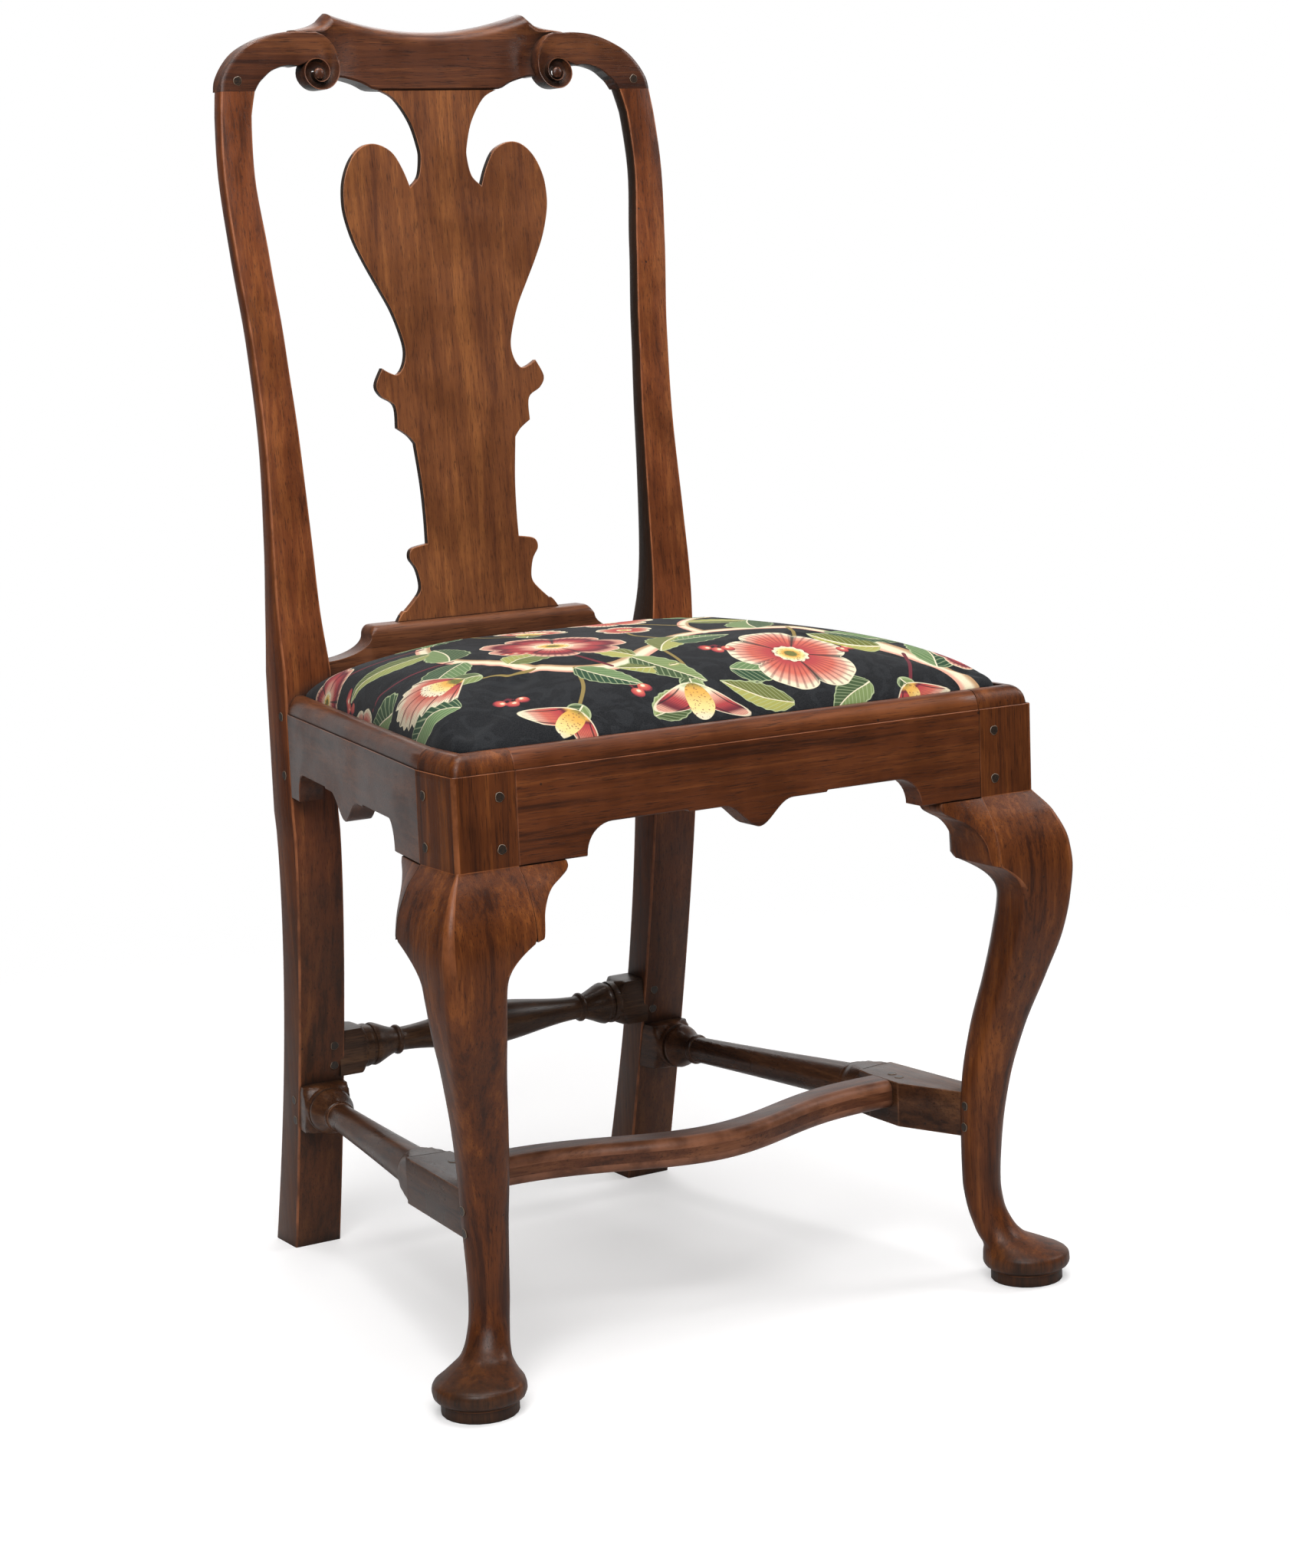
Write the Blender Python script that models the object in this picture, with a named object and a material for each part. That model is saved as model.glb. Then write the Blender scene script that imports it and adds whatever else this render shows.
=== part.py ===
"""Joined side chair with cabriole front legs, a scrolled back and a drop-in seat.

Metres, Z up, the front towards -Y, origin on the floor under the middle of the chair.
Every sub-part is one object. Right-hand pieces have positive X, left-hand ones negative X.
"""
from math import cos, pi, sin

import bmesh
import bpy
from mathutils import Vector

# Overall sizes
SEAT_HEIGHT = 0.468        # floor to the top of the seat moulding
SEAT_DEPTH = 0.386         # front rail face to the front of the stiles
FRONT_WIDTH = 0.496        # over the two front posts
REAR_WIDTH = 0.381         # over the two stiles at the seat
BACK_HEIGHT = 0.938        # floor to the joint under the crest
GAP = 0.0003               # clearance at every joint

# Seat rails
MOULDING_HEIGHT = 0.014
MOULDING_WIDTH = 0.0145
MOULDING_ROUND = 0.010     # how far the thumb moulding rounds back
QUIRK = 0.0015
FACE_HEIGHT = 0.067        # plain rail face under the moulding
RAIL_THICKNESS = 0.021
REBATE_DEPTH = 0.018       # moulding top down to the ledge for the seat
APRON_RISE = 0.0225        # lug down to the rail bottom, flat this much higher
APRON_STEP = 0.0015
DROP_HEIGHT = 0.018        # pointed drop at the middle of an apron
FRONT_LUG = 0.0545
FRONT_COVE = 0.0215
FRONT_STEP = 0.0605        # step in the apron, from the middle
FRONT_DROP = 0.031         # half width of the drop
SIDE_LUG = 0.058
SIDE_REAR_LUG = 0.0225
SIDE_COVE = 0.013
SIDE_STEP = 0.050
SIDE_DROP = 0.036
REAR_RAIL_SET = 0.0045     # rear rail behind the stile faces
REAR_RAIL_DEPTH = 0.032
REAR_LEDGE = 0.012
RAIL_TENON = 0.0275
TENON_THICKNESS = 0.009
TENON_SET = 0.0075         # outer face to tenon cheek
REAR_TENON_SET = 0.0045    # the same at the stiles

# Front legs
POST_WIDTH = 0.049
POST_DEPTH = 0.054
KNEE_BULGE = 0.0226
BRACKET_DROP = 0.050       # height of the knee brackets
KNEE_RETURN = 0.031        # height of the hollow under a bracket
LEG_LEAN = 0.0045          # shank set back and out from the diagonal
LEG_CURVE = (
    # share of leg height, bulge beyond the post faces, half width, then the corner radii:
    # outer front, inner front, outer back, inner back
    (1.000, 0.0000, 0.0250, 0.0015, 0.0008, 0.0008, 0.0120),
    (0.960, 0.0118, 0.0250, 0.0040, 0.0008, 0.0008, 0.0160),
    (0.900, 0.0206, 0.0250, 0.0060, 0.0010, 0.0010, 0.0180),
    (0.850, KNEE_BULGE, 0.0245, 0.0070, 0.0020, 0.0030, 0.0190),
    (0.790, 0.0212, 0.0237, 0.0080, 0.0060, 0.0110, 0.0180),
    (0.720, 0.0172, 0.0231, 0.0090, 0.0085, 0.0170, 0.0170),
    (0.630, 0.0080, 0.0212, 0.0110, 0.0110, 0.0205, 0.0165),
    (0.520, -0.0040, 0.0192, 0.0130, 0.0130, 0.0190, 0.0160),
    (0.410, -0.0122, 0.0178, 0.0150, 0.0150, 0.0177, 0.0165),
    (0.310, -0.0163, 0.0164, 0.0162, 0.0162, 0.0162, 0.0162),
    (0.200, -0.0185, 0.0149, 0.0148, 0.0148, 0.0148, 0.0148),
    (0.155, -0.0170, 0.0147, 0.0146, 0.0146, 0.0146, 0.0146),
)
FOOT_CURVE = (
    # height, bulge beyond the post faces, radius
    (0.0450, -0.0120, 0.0158),
    (0.0350, -0.0045, 0.0185),
    (0.0280, 0.0110, 0.0259),
    (0.0215, 0.0233, 0.0333),
    (0.0170, 0.0242, 0.0339),
    (0.0125, 0.0230, 0.0327),
    (0.0096, 0.0190, 0.0287),
    (0.0090, 0.0180, 0.0277),
    (0.0000, 0.0180, 0.0277),
)

# Knee brackets: drop below the rail, reach from the glue line
BRACKET_THICKNESS = 0.026
BRACKET_REACH = 0.0385
BRACKET_CURVE = (
    (0.0040, BRACKET_REACH),
    (0.0110, 0.0310),
    (0.0165, 0.0210),
    (0.0240, 0.0140),
    (0.0330, 0.0095),
    (0.0485, 0.0065),
)

# Rear stiles
STILE_WIDTH = 0.041
STILE_DEPTH = 0.038
STILE_FOOT_DEPTH = 0.040
STILE_SLIM = 0.0065        # back legs slimmer between seat and floor
STILE_KICK = 0.062         # back feet behind the seat line
STILE_TOE = 0.009          # back feet nearer together than at the seat
STILE_RAKE = 0.0445        # crest joint behind the seat line
STILE_STRAIGHT = 0.015     # straight length below the seat rails
STILE_LIFT = 0.017         # straight length above the moulding
STILE_CURVE = (
    # share of the height over the seat, bow outwards, width, depth
    (0.00, 0.0000, STILE_WIDTH, STILE_DEPTH),
    (0.10, 0.0015, 0.0380, 0.0265),
    (0.22, 0.0000, 0.0350, 0.0200),
    (0.40, -0.0023, 0.0303, 0.0165),
    (0.56, 0.0000, 0.0286, 0.0155),
    (0.72, 0.0060, 0.0288, 0.0150),
    (0.86, 0.0093, 0.0268, 0.0150),
    (0.95, 0.0072, 0.0268, 0.0155),
    (1.00, 0.0043, 0.0293, 0.0160),
)

# Crest rail
CREST_LEAN = 0.105
CREST_RECESS = 0.008       # plain middle behind the scrolled bands
CREST_THICKNESS = 0.021
CREST_ROLL = 0.006         # front edge of the top lower than the back
CREST_TENON = 0.019

# Splat and shoe
SPLAT_THICKNESS = 0.0065
SPLAT_HALF = 0.053         # half width under the crest
SPLAT_TENON = 0.012
SPLAT_TONGUE = 0.020
SHOE_SET = 0.0165          # shoe front behind the stile faces
SHOE_HEIGHT = 0.0465
SHOE_FASCIA = 0.0385       # height of the plain face
SHOE_DEPTH = 0.020
SHOE_HALF = 0.104
SHOE_TAPER = 0.012         # back of the shoe shorter at each end
SHOE_END = 0.0215          # height of the swept ends at the stiles
SPLAT_FOOT_SET = 0.0095    # splat face behind the shoe front

# Stretchers
SIDE_STRETCHER_REAR_Z = 0.125
SIDE_STRETCHER_FRONT_Z = 0.1312
REAR_STRETCHER_Z = 0.166
REAR_STRETCHER_SET = 0.0163  # axis behind the stile front at that height
SQUARE_HALF = 0.0193
REAR_SQUARE_HALF = 0.0155  # depth of the rear stretcher blocks
BLOCK_LENGTH = 0.124
BLOCK_HALF_HEIGHT = 0.0178
BLOCK_REACH = 0.0360       # leg centre in to the serpentine joint
STRETCHER_TENON = 0.025
FRONT_STRETCHER_DEPTH = 0.027
FRONT_STRETCHER_HEIGHT = 0.0225
FRONT_STRETCHER_BOW = 0.0415
FRONT_STRETCHER_SET = 0.082  # leg centre back to the joint

# Pegs
PEG_RADIUS = 0.0034
PEG_PROUD = 0.0004

# Drop-in seat
SEAT_PLAY = 0.001
CLOTH = 0.0012
HEM = 0.024
FRONT_CLIP = 0.006         # corners of the seat taken off
REAR_CLIP = 0.003
FRAME_THICKNESS = 0.0145
FRAME_BOARD = 0.045
WEB_THICKNESS = 0.0012
SACK_THICKNESS = 0.0008
SEAT_EDGE = 0.0005         # cushion edge above the moulding
SEAT_CROWN = 0.047         # middle of the cushion above its edge

RAIL_BOTTOM = SEAT_HEIGHT - MOULDING_HEIGHT - FACE_HEIGHT
FACE_TOP = SEAT_HEIGHT - MOULDING_HEIGHT
LEDGE = SEAT_HEIGHT - REBATE_DEPTH
FRONT_Y = KNEE_BULGE - (KNEE_BULGE + SEAT_DEPTH + STILE_KICK + STILE_FOOT_DEPTH) / 2
STILE_Y = FRONT_Y + SEAT_DEPTH
POST_IN = FRONT_WIDTH / 2 - POST_WIDTH
POST_BACK = FRONT_Y + POST_DEPTH
STILE_IN = REAR_WIDTH / 2 - STILE_WIDTH
SHOE_Y = STILE_Y + SHOE_SET

WALNUT = (0.16, 0.060, 0.024)
WALNUT_PALE = (0.24, 0.105, 0.042)
WALNUT_DARK = (0.070, 0.034, 0.018)
PEG_BROWN = (0.045, 0.022, 0.013)
PINE = (0.42, 0.27, 0.13)
JUTE = (0.33, 0.24, 0.14)
LINEN = (0.46, 0.38, 0.26)
HAIR = (0.22, 0.16, 0.10)
PRINT = (0.035, 0.028, 0.028)


def interpolate(table, at):
    """Smooth row of a station table at a value of its first column, without overshoot."""
    rows = sorted(table)
    at = min(max(at, rows[0][0]), rows[-1][0])
    k = 0
    while k < len(rows) - 2 and at > rows[k + 1][0]:
        k += 1
    slopes = []
    for a, b in zip(rows, rows[1:]):
        slopes.append([(q - p) / (b[0] - a[0]) for p, q in zip(a[1:], b[1:])])

    def tangent(i, c):
        if i == 0:
            return slopes[0][c]
        if i == len(rows) - 1:
            return slopes[-1][c]
        before, after = slopes[i - 1][c], slopes[i][c]
        if before * after <= 0:
            return 0.0
        return 2 * before * after / (before + after)

    width = rows[k + 1][0] - rows[k][0]
    t = (at - rows[k][0]) / width
    row = []
    for c in range(len(rows[k]) - 1):
        p, q = rows[k][c + 1], rows[k + 1][c + 1]
        m, n = tangent(k, c) * width, tangent(k + 1, c) * width
        row.append(p * (1 + 2 * t) * (1 - t) ** 2 + m * t * (1 - t) ** 2
                   + q * t * t * (3 - 2 * t) + n * t * t * (t - 1))
    return row


def curve(points, steps=3):
    """Points of a smooth curve through a few given ones, the last one left out."""
    ends = [points[0]] + list(points) + [points[-1]]
    line = []
    for a, b, c, d in zip(ends, ends[1:], ends[2:], ends[3:]):
        for k in range(steps):
            t = k / steps
            line.append(tuple(
                0.5 * (2 * q + (r - p) * t + (2 * p - 5 * q + 4 * r - s) * t * t
                       + (3 * q - p - 3 * r + s) * t ** 3)
                for p, q, r, s in zip(a, b, c, d)))
    return line


def mesh_object(name, bm):
    bmesh.ops.remove_doubles(bm, verts=bm.verts, dist=1e-6)
    bmesh.ops.recalc_face_normals(bm, faces=bm.faces)
    mesh = bpy.data.meshes.new(name)
    bm.to_mesh(mesh)
    bm.free()
    made = bpy.data.objects.new(name, mesh)
    bpy.context.scene.collection.objects.link(made)
    return made


def loft(name, rings):
    """Closed body through rings of the same number of points, capped at both ends."""
    bm = bmesh.new()
    loops = [[bm.verts.new(p) for p in ring] for ring in rings]
    for low, high in zip(loops, loops[1:]):
        for k in range(len(low)):
            n = (k + 1) % len(low)
            bm.faces.new((low[k], low[n], high[n], high[k]))
    bm.faces.new(loops[0])
    bm.faces.new(loops[-1])
    return mesh_object(name, bm)


def prism(name, outline, shift):
    """An outline of 3-D points swept along one vector."""
    return loft(name, [outline, [Vector(p) + Vector(shift) for p in outline]])


def box(name, low, high):
    (x0, y0, z0), (x1, y1, z1) = low, high
    return prism(name, [(x0, y0, z0), (x1, y0, z0), (x1, y1, z0), (x0, y1, z0)], (0, 0, z1 - z0))


def side_box(name, side, low, high):
    """Box given for the right-hand side, mirrored for the left."""
    xs = sorted((side * low[0], side * high[0]))
    return box(name, (xs[0], low[1], low[2]), (xs[1], high[1], high[2]))


def grown(low, high):
    return tuple(v - GAP for v in low), tuple(v + GAP for v in high)


def tube(name, start, direction, stations, count=10):
    """Turned body: stations are distance along the axis and radius."""
    axis = Vector(direction).normalized()
    across = axis.orthogonal().normalized()
    other = axis.cross(across)
    rings = []
    for distance, radius in stations:
        centre = Vector(start) + axis * distance
        rings.append([centre + (across * cos(2 * pi * k / count) + other * sin(2 * pi * k / count)) * radius
                      for k in range(count)])
    return loft(name, rings)


def combine(target, tool, operation):
    modifier = target.modifiers.new("step", "BOOLEAN")
    modifier.operation = operation
    modifier.solver = "EXACT"
    modifier.object = tool
    graph = bpy.context.evaluated_depsgraph_get()
    mesh = bpy.data.meshes.new_from_object(target.evaluated_get(graph))
    target.modifiers.clear()
    target.data = mesh
    bpy.data.objects.remove(tool)


def cut(target, tool):
    combine(target, tool, "DIFFERENCE")


def join(target, tool):
    combine(target, tool, "UNION")


def paint(target, colour, roughness=0.45):
    material = bpy.data.materials.new(target.name)
    material.use_nodes = True
    shader = material.node_tree.nodes["Principled BSDF"]
    shader.inputs["Base Color"].default_value = (*colour, 1)
    shader.inputs["Roughness"].default_value = roughness
    target.data.materials.clear()
    target.data.materials.append(material)


# Shared geometry

def moulding_profile():
    """Thumb moulding as distance in from the rail face and height, upwards."""
    steps = 4
    arc = [pi / 2 * k / steps for k in range(steps + 1)]
    return [(QUIRK + MOULDING_ROUND * (1 - cos(a)), FACE_TOP + MOULDING_HEIGHT * sin(a)) for a in arc]


def side_x(y):
    """Outer face of a side rail."""
    share = (y - POST_BACK) / (STILE_Y - POST_BACK)
    return FRONT_WIDTH / 2 + (REAR_WIDTH - FRONT_WIDTH) / 2 * share


def apron(start, end, lugs, cove, step, drop):
    """Lower edge of a rail: position along the rail and height."""
    flat = RAIL_BOTTOM + APRON_RISE
    low, high = start + lugs[0], end - lugs[1]
    middle = (low + high) / 2
    rise = [(cove * (1 - cos(a)), APRON_RISE * sin(a)) for a in (0, pi / 8, pi / 4, 3 * pi / 8, pi / 2)]
    half = [0.0, 0.12, 0.28, 0.5, 0.75, 1.0]
    fall = [(drop * u, flat - APRON_STEP - DROP_HEIGHT * (1 - u) ** 2.2) for u in half]
    line = [(start, RAIL_BOTTOM)]
    line += [(low + u, RAIL_BOTTOM + v) for u, v in rise]
    line += [(middle - step, flat), (middle - step + APRON_STEP, flat - APRON_STEP)]
    line += [(middle - u, z) for u, z in reversed(fall)]
    line += [(middle + u, z) for u, z in fall[1:]]
    line += [(middle + step - APRON_STEP, flat - APRON_STEP), (middle + step, flat)]
    line += [(high - u, RAIL_BOTTOM + v) for u, v in reversed(rise)]
    line += [(end, RAIL_BOTTOM)]
    return line


def rail_section(bottom):
    """Rail cross-section as distance in from the outer face and height."""
    return ([(RAIL_THICKNESS, bottom), (0, bottom), (0, FACE_TOP)] + moulding_profile()
            + [(MOULDING_WIDTH, SEAT_HEIGHT), (MOULDING_WIDTH, LEDGE), (RAIL_THICKNESS, LEDGE)])


def leg_table():
    rows = [(share * RAIL_BOTTOM, *rest) for share, *rest in LEG_CURVE]
    rows += [(z, bulge, radius) + (radius,) * 4 for z, bulge, radius in FOOT_CURVE[:-2]]
    return rows


def leg_row(z):
    """Outer and inner faces and corner radii of a front leg at one height, right-hand side."""
    bulge, half, *corners = interpolate(leg_table(), z)
    away = (0.80 * RAIL_BOTTOM - z) / (0.46 * RAIL_BOTTOM)
    lean = LEG_LEAN * min(max(away, 0), 1)
    out_x, out_y = FRONT_WIDTH / 2 + bulge + lean, FRONT_Y - bulge + lean
    in_x, in_y = out_x - 2 * half, out_y + 2 * half
    down = (RAIL_BOTTOM - BRACKET_DROP - z) / KNEE_RETURN
    if down < 1:
        ease = 1 - (1 - max(down, 0)) ** 2.5
        in_x = POST_IN + (in_x - POST_IN) * ease
        in_y = POST_BACK + (in_y - POST_BACK) * ease
    return (out_x, in_x, out_y, in_y, *(min(radius, 0.999 * half) for radius in corners))


def leg_ring(side, z, row, grow=0.0, steps=4):
    """Ring of a rounded rectangle."""
    out_x, in_x, out_y, in_y, *radii = row
    out_x, in_x, out_y, in_y = out_x + grow, in_x - grow, out_y - grow, in_y + grow
    corners = ((in_x, out_y, 1, 1, radii[1], pi), (out_x, out_y, -1, 1, radii[0], 1.5 * pi),
               (out_x, in_y, -1, -1, radii[2], 0), (in_x, in_y, 1, -1, radii[3], 0.5 * pi))
    ring = []
    for x, y, right, rear, radius, turn in corners:
        radius += grow
        for k in range(steps):
            a = turn + pi / 2 * k / (steps - 1)
            out = x + right * radius + radius * cos(a)
            ring.append((side * out, y + rear * radius + radius * sin(a), z))
    return ring


def leg_centre(z):
    out_x, in_x, out_y, in_y, *corners = leg_row(z)
    return (out_x + in_x) / 2, (out_y + in_y) / 2, (out_x - in_x) / 2


def leg_solid(name, side, grow=0.0):
    heights = [RAIL_BOTTOM * k / 100 for k in (100, 98.5, 96, 93, 90)]
    hollow = RAIL_BOTTOM - BRACKET_DROP
    heights += [hollow - KNEE_RETURN * k for k in (0, 0.08, 0.2, 0.4, 0.65, 1)]
    heights += [RAIL_BOTTOM * k / 100 for k in (75, 69, 63, 57, 51, 45, 38, 31, 25, 20, 15.5)]
    heights += [z for z, bulge, radius in FOOT_CURVE[:-2]] + [0.0315, 0.0248]
    rings = []
    for t, z in reversed(moulding_profile()):
        row = FRONT_WIDTH / 2 - t, POST_IN, FRONT_Y + t, POST_BACK, 0.001, 0.0008, 0.0008, 0.0008
        rings.append(leg_ring(side, z, row, grow))
    post = FRONT_WIDTH / 2, POST_IN, FRONT_Y, POST_BACK, 0.0015, 0.0008, 0.0008, 0.0008
    rings.append(leg_ring(side, FACE_TOP - GAP, post, grow))
    rings.append(leg_ring(side, RAIL_BOTTOM + GAP, post, grow))
    for z in sorted(heights, reverse=True):
        rings.append(leg_ring(side, z, leg_row(z), grow))
    out_x, in_x, out_y, in_y, *corners = leg_row(FOOT_CURVE[-3][0])
    x, y = (out_x + in_x) / 2, (out_y + in_y) / 2
    for z, bulge, r in FOOT_CURVE[-2:]:
        rings.append(leg_ring(side, z, (x + r, x - r, y - r, y + r) + (0.999 * r,) * 4, grow))
    return loft(name, rings)


def stile_row(z):
    """Outer face, front face, width and depth of a stile at one height."""
    foot = RAIL_BOTTOM - STILE_STRAIGHT
    top = SEAT_HEIGHT + STILE_LIFT
    if z <= foot:
        up = z / foot
        depth = STILE_FOOT_DEPTH + (STILE_DEPTH - STILE_FOOT_DEPTH) * up - STILE_SLIM * sin(pi * up)
        outer = REAR_WIDTH / 2 - STILE_TOE * (1 - up) ** 0.65
        return (outer, STILE_Y + STILE_KICK * (1 - up) ** 1.35, STILE_WIDTH, depth)
    if z <= top:
        return REAR_WIDTH / 2, STILE_Y, STILE_WIDTH, STILE_DEPTH
    up = (z - top) / (BACK_HEIGHT - top)
    bow, width, depth = interpolate(STILE_CURVE, up)
    return REAR_WIDTH / 2 + bow, STILE_Y + STILE_RAKE * up ** 1.15, width, depth


def stile_solid(name, side, grow=0.0):
    foot = RAIL_BOTTOM - STILE_STRAIGHT
    top = SEAT_HEIGHT + STILE_LIFT
    heights = [foot * k / 9 for k in range(10)] + [top]
    heights += [top + (BACK_HEIGHT - GAP - top) * k / 20 for k in range(1, 21)]
    rings = []
    for z in heights:
        x, y, width, depth = stile_row(z)
        x, y, width, depth = x + grow, y - grow, width + 2 * grow, depth + 2 * grow
        rings.append([(side * x, y, z), (side * x, y + depth, z),
                      (side * (x - width), y + depth, z), (side * (x - width), y, z)])
    return loft(name, rings)


def crest_front(z):
    """Front of the crest ears, continuing the stiles."""
    return STILE_Y + STILE_RAKE + CREST_LEAN * (z - BACK_HEIGHT)


def splat_front(z):
    """Front of the splat, leaning from the shoe to the plain middle of the crest."""
    low = SEAT_HEIGHT + SHOE_HEIGHT
    foot = SHOE_Y + SPLAT_FOOT_SET
    head = crest_front(BACK_HEIGHT) + CREST_RECESS
    return foot + (head - foot) * (z - low) / (BACK_HEIGHT - low)


def stretcher_axis(side):
    """Ends of a side stretcher axis: at the stile front and at the front leg."""
    x, y, width, depth = stile_row(SIDE_STRETCHER_REAR_Z)
    leg_x, leg_y, half = leg_centre(SIDE_STRETCHER_FRONT_Z)
    return (Vector((side * (x - width / 2), y, SIDE_STRETCHER_REAR_Z)),
            Vector((side * leg_x, leg_y, SIDE_STRETCHER_FRONT_Z)))


def turned(name, start, end, stations, narrow=1.0):
    """Turned bar with square ends: stations are distance, radius, and 1 where square."""
    axis = (end - start).normalized()
    across = axis.cross(Vector((0, 0, 1))).normalized()
    other = across.cross(axis)
    rings = []
    for distance, radius, square in stations:
        ring = []
        for k in range(16):
            a = 2 * pi * (k + 0.5) / 16
            u, v = cos(a), sin(a)
            if square:
                scale = 1 / max(abs(u), abs(v))
                u, v = u * scale, v * scale
                if k % 4 in (1, 2):
                    u, v = (1 if u > 0 else -1), (1 if v > 0 else -1)
                    u, v = (u, v * 0.985) if (k % 4 == 1) == (u * v > 0) else (u * 0.985, v)
                u *= narrow
            ring.append(start + axis * distance + (across * u + other * v) * radius)
        rings.append(ring)
    return loft(name, rings)


# Tenons, each as a box for the right-hand side

def front_rail_tenon():
    return ((POST_IN - 0.006, FRONT_Y + TENON_SET, RAIL_BOTTOM + 0.006),
            (POST_IN + RAIL_TENON, FRONT_Y + TENON_SET + TENON_THICKNESS, LEDGE - 0.003))


def side_rail_front_tenon():
    x = FRONT_WIDTH / 2 - TENON_SET
    return ((x - TENON_THICKNESS, POST_BACK - RAIL_TENON, RAIL_BOTTOM + 0.006),
            (x, POST_BACK + 0.006, LEDGE - 0.003))


def side_rail_rear_tenon():
    x = REAR_WIDTH / 2 - REAR_TENON_SET
    return ((x - TENON_THICKNESS, STILE_Y - 0.006, RAIL_BOTTOM + 0.006),
            (x, STILE_Y + RAIL_TENON, FACE_TOP + 0.004))


def rear_rail_tenon():
    y = STILE_Y + REAR_RAIL_SET + 0.014
    return ((STILE_IN - 0.006, y, RAIL_BOTTOM + 0.010),
            (STILE_IN + 0.019, y + TENON_THICKNESS, LEDGE - 0.003))


def crest_tenon():
    x, y, width, depth = stile_row(BACK_HEIGHT)
    middle = y + depth / 2
    return ((x - width / 2 - 0.007, middle - 0.0035, BACK_HEIGHT - 0.006),
            (x - width / 2 + 0.007, middle + 0.0035, BACK_HEIGHT + CREST_TENON))


def splat_tenon():
    y = splat_front(BACK_HEIGHT)
    return ((-SPLAT_HALF + 0.009, y + 0.0020, BACK_HEIGHT - 0.006),
            (SPLAT_HALF - 0.009, y + SPLAT_THICKNESS - 0.0010, BACK_HEIGHT + SPLAT_TENON))


def rear_stretcher_tenon():
    x, y, width, depth = stile_row(REAR_STRETCHER_Z)
    middle = y + REAR_STRETCHER_SET
    return ((x - width - 0.008, middle - 0.0045, REAR_STRETCHER_Z - 0.015),
            (x - width + 0.020, middle + 0.0045, REAR_STRETCHER_Z + 0.015))


def side_stretcher_rear_tenon():
    x, y, width, depth = stile_row(SIDE_STRETCHER_REAR_Z)
    middle = x - width / 2
    return ((middle - 0.0045, y - 0.010, SIDE_STRETCHER_REAR_Z - 0.017),
            (middle + 0.0045, y + STRETCHER_TENON, SIDE_STRETCHER_REAR_Z + 0.012))


def side_stretcher_front_tenon():
    x, y, half = leg_centre(SIDE_STRETCHER_FRONT_Z)
    return ((x - 0.0045, y - 0.010, SIDE_STRETCHER_FRONT_Z - 0.015),
            (x + 0.0045, y + 0.026, SIDE_STRETCHER_FRONT_Z + 0.015))


def front_stretcher_tongue():
    leg_x, leg_y, half = leg_centre(SIDE_STRETCHER_FRONT_Z)
    x, y, z = leg_x - BLOCK_REACH, leg_y + FRONT_STRETCHER_SET, front_stretcher_z()
    return (x - 0.008, y - 0.0125, z - 0.005), (x + 0.0235, y + 0.0125, z + 0.005)


def front_stretcher_z():
    return SIDE_STRETCHER_FRONT_Z + BLOCK_HALF_HEIGHT - FRONT_STRETCHER_HEIGHT / 2


# Pegs: name, start on the surface, direction, length

def peg_list(side):
    word = "right" if side > 0 else "left"
    pegs = []
    for level, z in (("lower", RAIL_BOTTOM + 0.0135), ("upper", LEDGE - 0.0130)):
        x = side * (POST_IN + 0.0130)
        pegs.append((f"peg_front_rail_{word}_{level}", (x, FRONT_Y, z), (0, 1, 0), 0.0225))
        pegs.append((f"peg_side_rail_{word}_{level}", (side * FRONT_WIDTH / 2, POST_BACK - 0.0095, z),
                     (-side, 0, 0), 0.0215))
    for level, z in (("lower", RAIL_BOTTOM + 0.0170), ("upper", FACE_TOP - 0.0030)):
        pegs.append((f"peg_stile_{word}_{level}", (side * REAR_WIDTH / 2, STILE_Y + 0.0105, z),
                     (-side, 0, 0), 0.0195))
    x, y, width, depth = stile_row(BACK_HEIGHT)
    z = BACK_HEIGHT + 0.0080
    pegs.append((f"peg_crest_{word}", (side * (x - width / 2), crest_front(z), z), (0, 1, 0), 0.0140))
    for level, shift in (("lower", -0.0085), ("upper", 0.0085)):
        z = REAR_STRETCHER_Z + shift
        x, y, width, depth = stile_row(z)
        start = (side * (x - width + 0.0095), y, z)
        pegs.append((f"peg_rear_stretcher_{word}_{level}", start, (0, 1, 0), 0.0240))
        z = SIDE_STRETCHER_REAR_Z - 0.0030 + shift
        x, y, width, depth = stile_row(z)
        middle = stile_row(SIDE_STRETCHER_REAR_Z)[1] + 0.0080
        pegs.append((f"peg_side_stretcher_{word}_{level}", (side * x, middle, z), (-side, 0, 0), 0.0300))
        z = SIDE_STRETCHER_FRONT_Z + shift
        x, y, half = leg_centre(z)
        pegs.append((f"peg_leg_{word}_{level}", (side * (x + half), y + 0.0005, z), (-side, 0, 0), 2 * half))
    leg_x, leg_y, half = leg_centre(SIDE_STRETCHER_FRONT_Z)
    z = SIDE_STRETCHER_FRONT_Z + BLOCK_HALF_HEIGHT
    for place, x, y in (("rear", 0.0135, 0.0060), ("front", 0.0115, -0.0065)):
        at = (side * (leg_x - BLOCK_REACH + x), leg_y + FRONT_STRETCHER_SET + y, z)
        pegs.append((f"peg_front_stretcher_{word}_{place}", at, (0, 0, -1), 0.0260))
    return pegs


def peg_solid(entry):
    name, start, direction, length = entry
    axis = Vector(direction)
    through = PEG_PROUD if name.startswith("peg_leg") else 0.0
    stations = [(0, 0.72 * PEG_RADIUS), (PEG_PROUD, PEG_RADIUS)]
    stations.append((length + PEG_PROUD + through, 0.92 * PEG_RADIUS))
    return tube(name, Vector(start) - axis * PEG_PROUD, direction, stations)


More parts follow.
